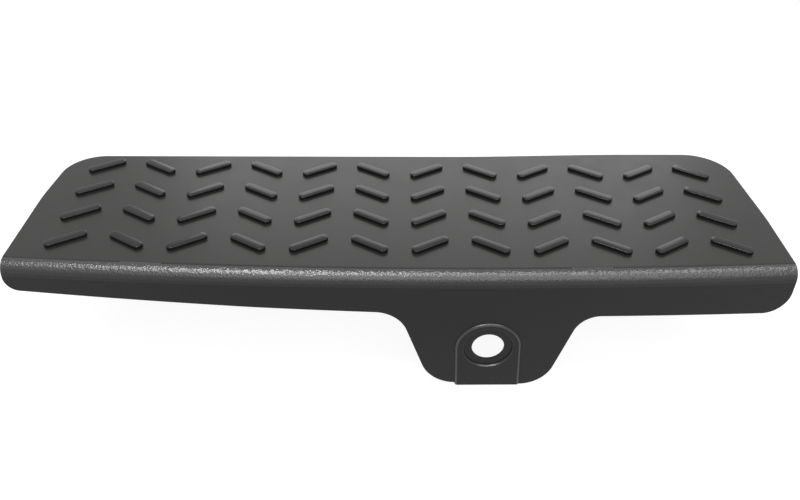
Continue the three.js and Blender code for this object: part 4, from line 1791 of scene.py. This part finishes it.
@dataclass(frozen=True)
class Viewpoint:
    """The photograph's camera, found from the bars of the tread. Metres, radians and pixels."""

    place: Point = (-0.00306, -0.30439, 0.20633)
    yaw: float = -0.0097
    pitch: float = 0.6231
    roll: float = 0.0162
    focal_pixels: float = 820.07
    picture_width: float = 800.0
    sensor_width: float = 36.0
    nearest: float = 0.01

    def build(self) -> None:
        """Adds the camera and makes it the scene's."""
        ahead = Vector((-math.sin(self.yaw), math.cos(self.yaw), 0.0))
        right = Vector((math.cos(self.yaw), math.sin(self.yaw), 0.0))
        forward = ahead * math.cos(self.pitch) - Vector((0, 0, math.sin(self.pitch)))
        up = ahead * math.sin(self.pitch) + Vector((0, 0, math.cos(self.pitch)))
        tilted_right = right * math.cos(self.roll) + up * math.sin(self.roll)
        tilted_up = up * math.cos(self.roll) - right * math.sin(self.roll)
        deselect()
        bpy.ops.object.camera_add(location=self.place)
        camera = bpy.context.object
        camera.name = "photo_camera"
        turn = Matrix((tilted_right, tilted_up, -forward)).transposed()
        camera.matrix_world = Matrix.Translation(self.place) @ turn.to_4x4()
        camera.data.sensor_fit = "HORIZONTAL"
        camera.data.sensor_width = self.sensor_width
        camera.data.lens = self.focal_pixels / self.picture_width * self.sensor_width
        camera.data.clip_start = self.nearest
        bpy.context.scene.camera = camera


@dataclass(frozen=True)
class Panel:
    """A soft light panel that points at the step's middle. Metres."""

    name: str
    place: Point
    width: float
    height: float
    radiance: float

    def build(self) -> None:
        """Adds the panel."""
        deselect()
        bpy.ops.object.light_add(type="AREA", location=self.place)
        lamp = bpy.context.object
        lamp.name = self.name
        lamp.data.shape = "RECTANGLE"
        lamp.data.size = self.width
        lamp.data.size_y = self.height
        lamp.data.energy = self.radiance * math.pi * self.width * self.height
        aim = -Vector(self.place)
        lamp.rotation_euler = aim.to_track_quat("-Z", "Y").to_euler()
        LOG.info("light: %s", self.name)


@dataclass
class Studio:
    """A pale floor, a white surround and soft light."""

    floor_height: float = -0.0486
    floor_size: float = 6.0
    floor_colour: Point = (0.30, 0.30, 0.30)
    floor_roughness: float = 0.9
    floor_glow: float = 0.90
    surround: float = 0.15
    panels: tuple[Panel, ...] = (
        Panel("overhead_softbox", (0.05, -0.24, 0.78), 1.35, 0.20, 5.2),
        Panel("key_light", (-0.20, -0.26, 0.80), 0.28, 0.16, 16.0),
        Panel("rear_panel", (0.045, 0.72, 0.35), 0.72, 0.30, 1.4),
        Panel("front_fill", (0.12, -0.62, 0.55), 1.00, 0.36, 2.2),
    )

    def build(self) -> None:
        """Builds the floor, the surround and the lights."""
        for panel in self.panels:
            panel.build()
        self.build_floor()
        self.build_surround()

    def seen_white(self, tree: bpy.types.NodeTree) -> Socket:
        """Tells what the camera, mirrors and glass see from what only lights the step.

        Args:
            tree: the node tree that needs it.

        Returns:
            A socket that is 1 for camera, glossy and transmission rays, and 0 otherwise.
        """
        path = tree.nodes.new("ShaderNodeLightPath")
        seen = path.outputs["Is Camera Ray"]
        for ray in ("Is Glossy Ray", "Is Transmission Ray"):
            either = tree.nodes.new("ShaderNodeMath")
            either.operation = "MAXIMUM"
            tree.links.new(seen, either.inputs[0])
            tree.links.new(path.outputs[ray], either.inputs[1])
            seen = either.outputs["Value"]
        return seen

    def build_floor(self) -> None:
        """Adds the floor, which is seen as white but for the step's shadow."""
        deselect()
        bpy.ops.mesh.primitive_plane_add(size=self.floor_size, location=(0, 0, self.floor_height))
        floor = bpy.context.object
        floor.name = "studio_floor"
        nodes = Nodes("studio_floor")
        nodes.shader.inputs["Base Color"].default_value = (*self.floor_colour, 1.0)
        nodes.shader.inputs["Roughness"].default_value = self.floor_roughness
        nodes.shader.inputs["Specular IOR Level"].default_value = 0.0
        glow = nodes.add("ShaderNodeEmission")
        glow.inputs["Color"].default_value = (1, 1, 1, 1)
        level = nodes.spread(self.seen_white(nodes.tree), (0.0, 1.0), (0.0, self.floor_glow))
        nodes.link(level, glow.inputs["Strength"])
        both = nodes.add("ShaderNodeAddShader")
        nodes.link(nodes.shader.outputs["BSDF"], both.inputs[0])
        nodes.link(glow.outputs["Emission"], both.inputs[1])
        output = nodes.tree.nodes["Material Output"]
        nodes.link(both.outputs["Shader"], output.inputs["Surface"])
        floor.data.materials.append(nodes.material)
        LOG.info("stage: %s", floor.name)

    def build_surround(self) -> None:
        """Gives the world an even light, and a white that is seen."""
        world = bpy.data.worlds.new("studio_surround")
        bpy.context.scene.world = world
        world.use_nodes = True
        tree = world.node_tree
        background = tree.nodes["Background"]
        background.inputs["Color"].default_value = (1, 1, 1, 1)
        level = tree.nodes.new("ShaderNodeMapRange")
        level.inputs["To Min"].default_value = self.surround
        level.inputs["To Max"].default_value = 1.0
        tree.links.new(self.seen_white(tree), level.inputs["Value"])
        tree.links.new(level.outputs["Result"], background.inputs["Strength"])


def main() -> None:
    """Builds the step and its studio."""
    logging.basicConfig(level=logging.INFO, format="%(name)s: %(message)s")
    scene = bpy.context.scene
    scene.view_settings.view_transform = "Standard"
    moulding = Moulding()
    stand_for(moulding.build(), "step_moulding")
    Retainer().build_all()
    BumpPad().build_all()
    SkirtStrip("skirt_strip_left", -117.5, -47.5).build(moulding)
    SkirtStrip("skirt_strip_right", 82.5, 152.5).build(moulding)
    Viewpoint().build()
    Studio().build()


if __name__ == "__main__":
    main()
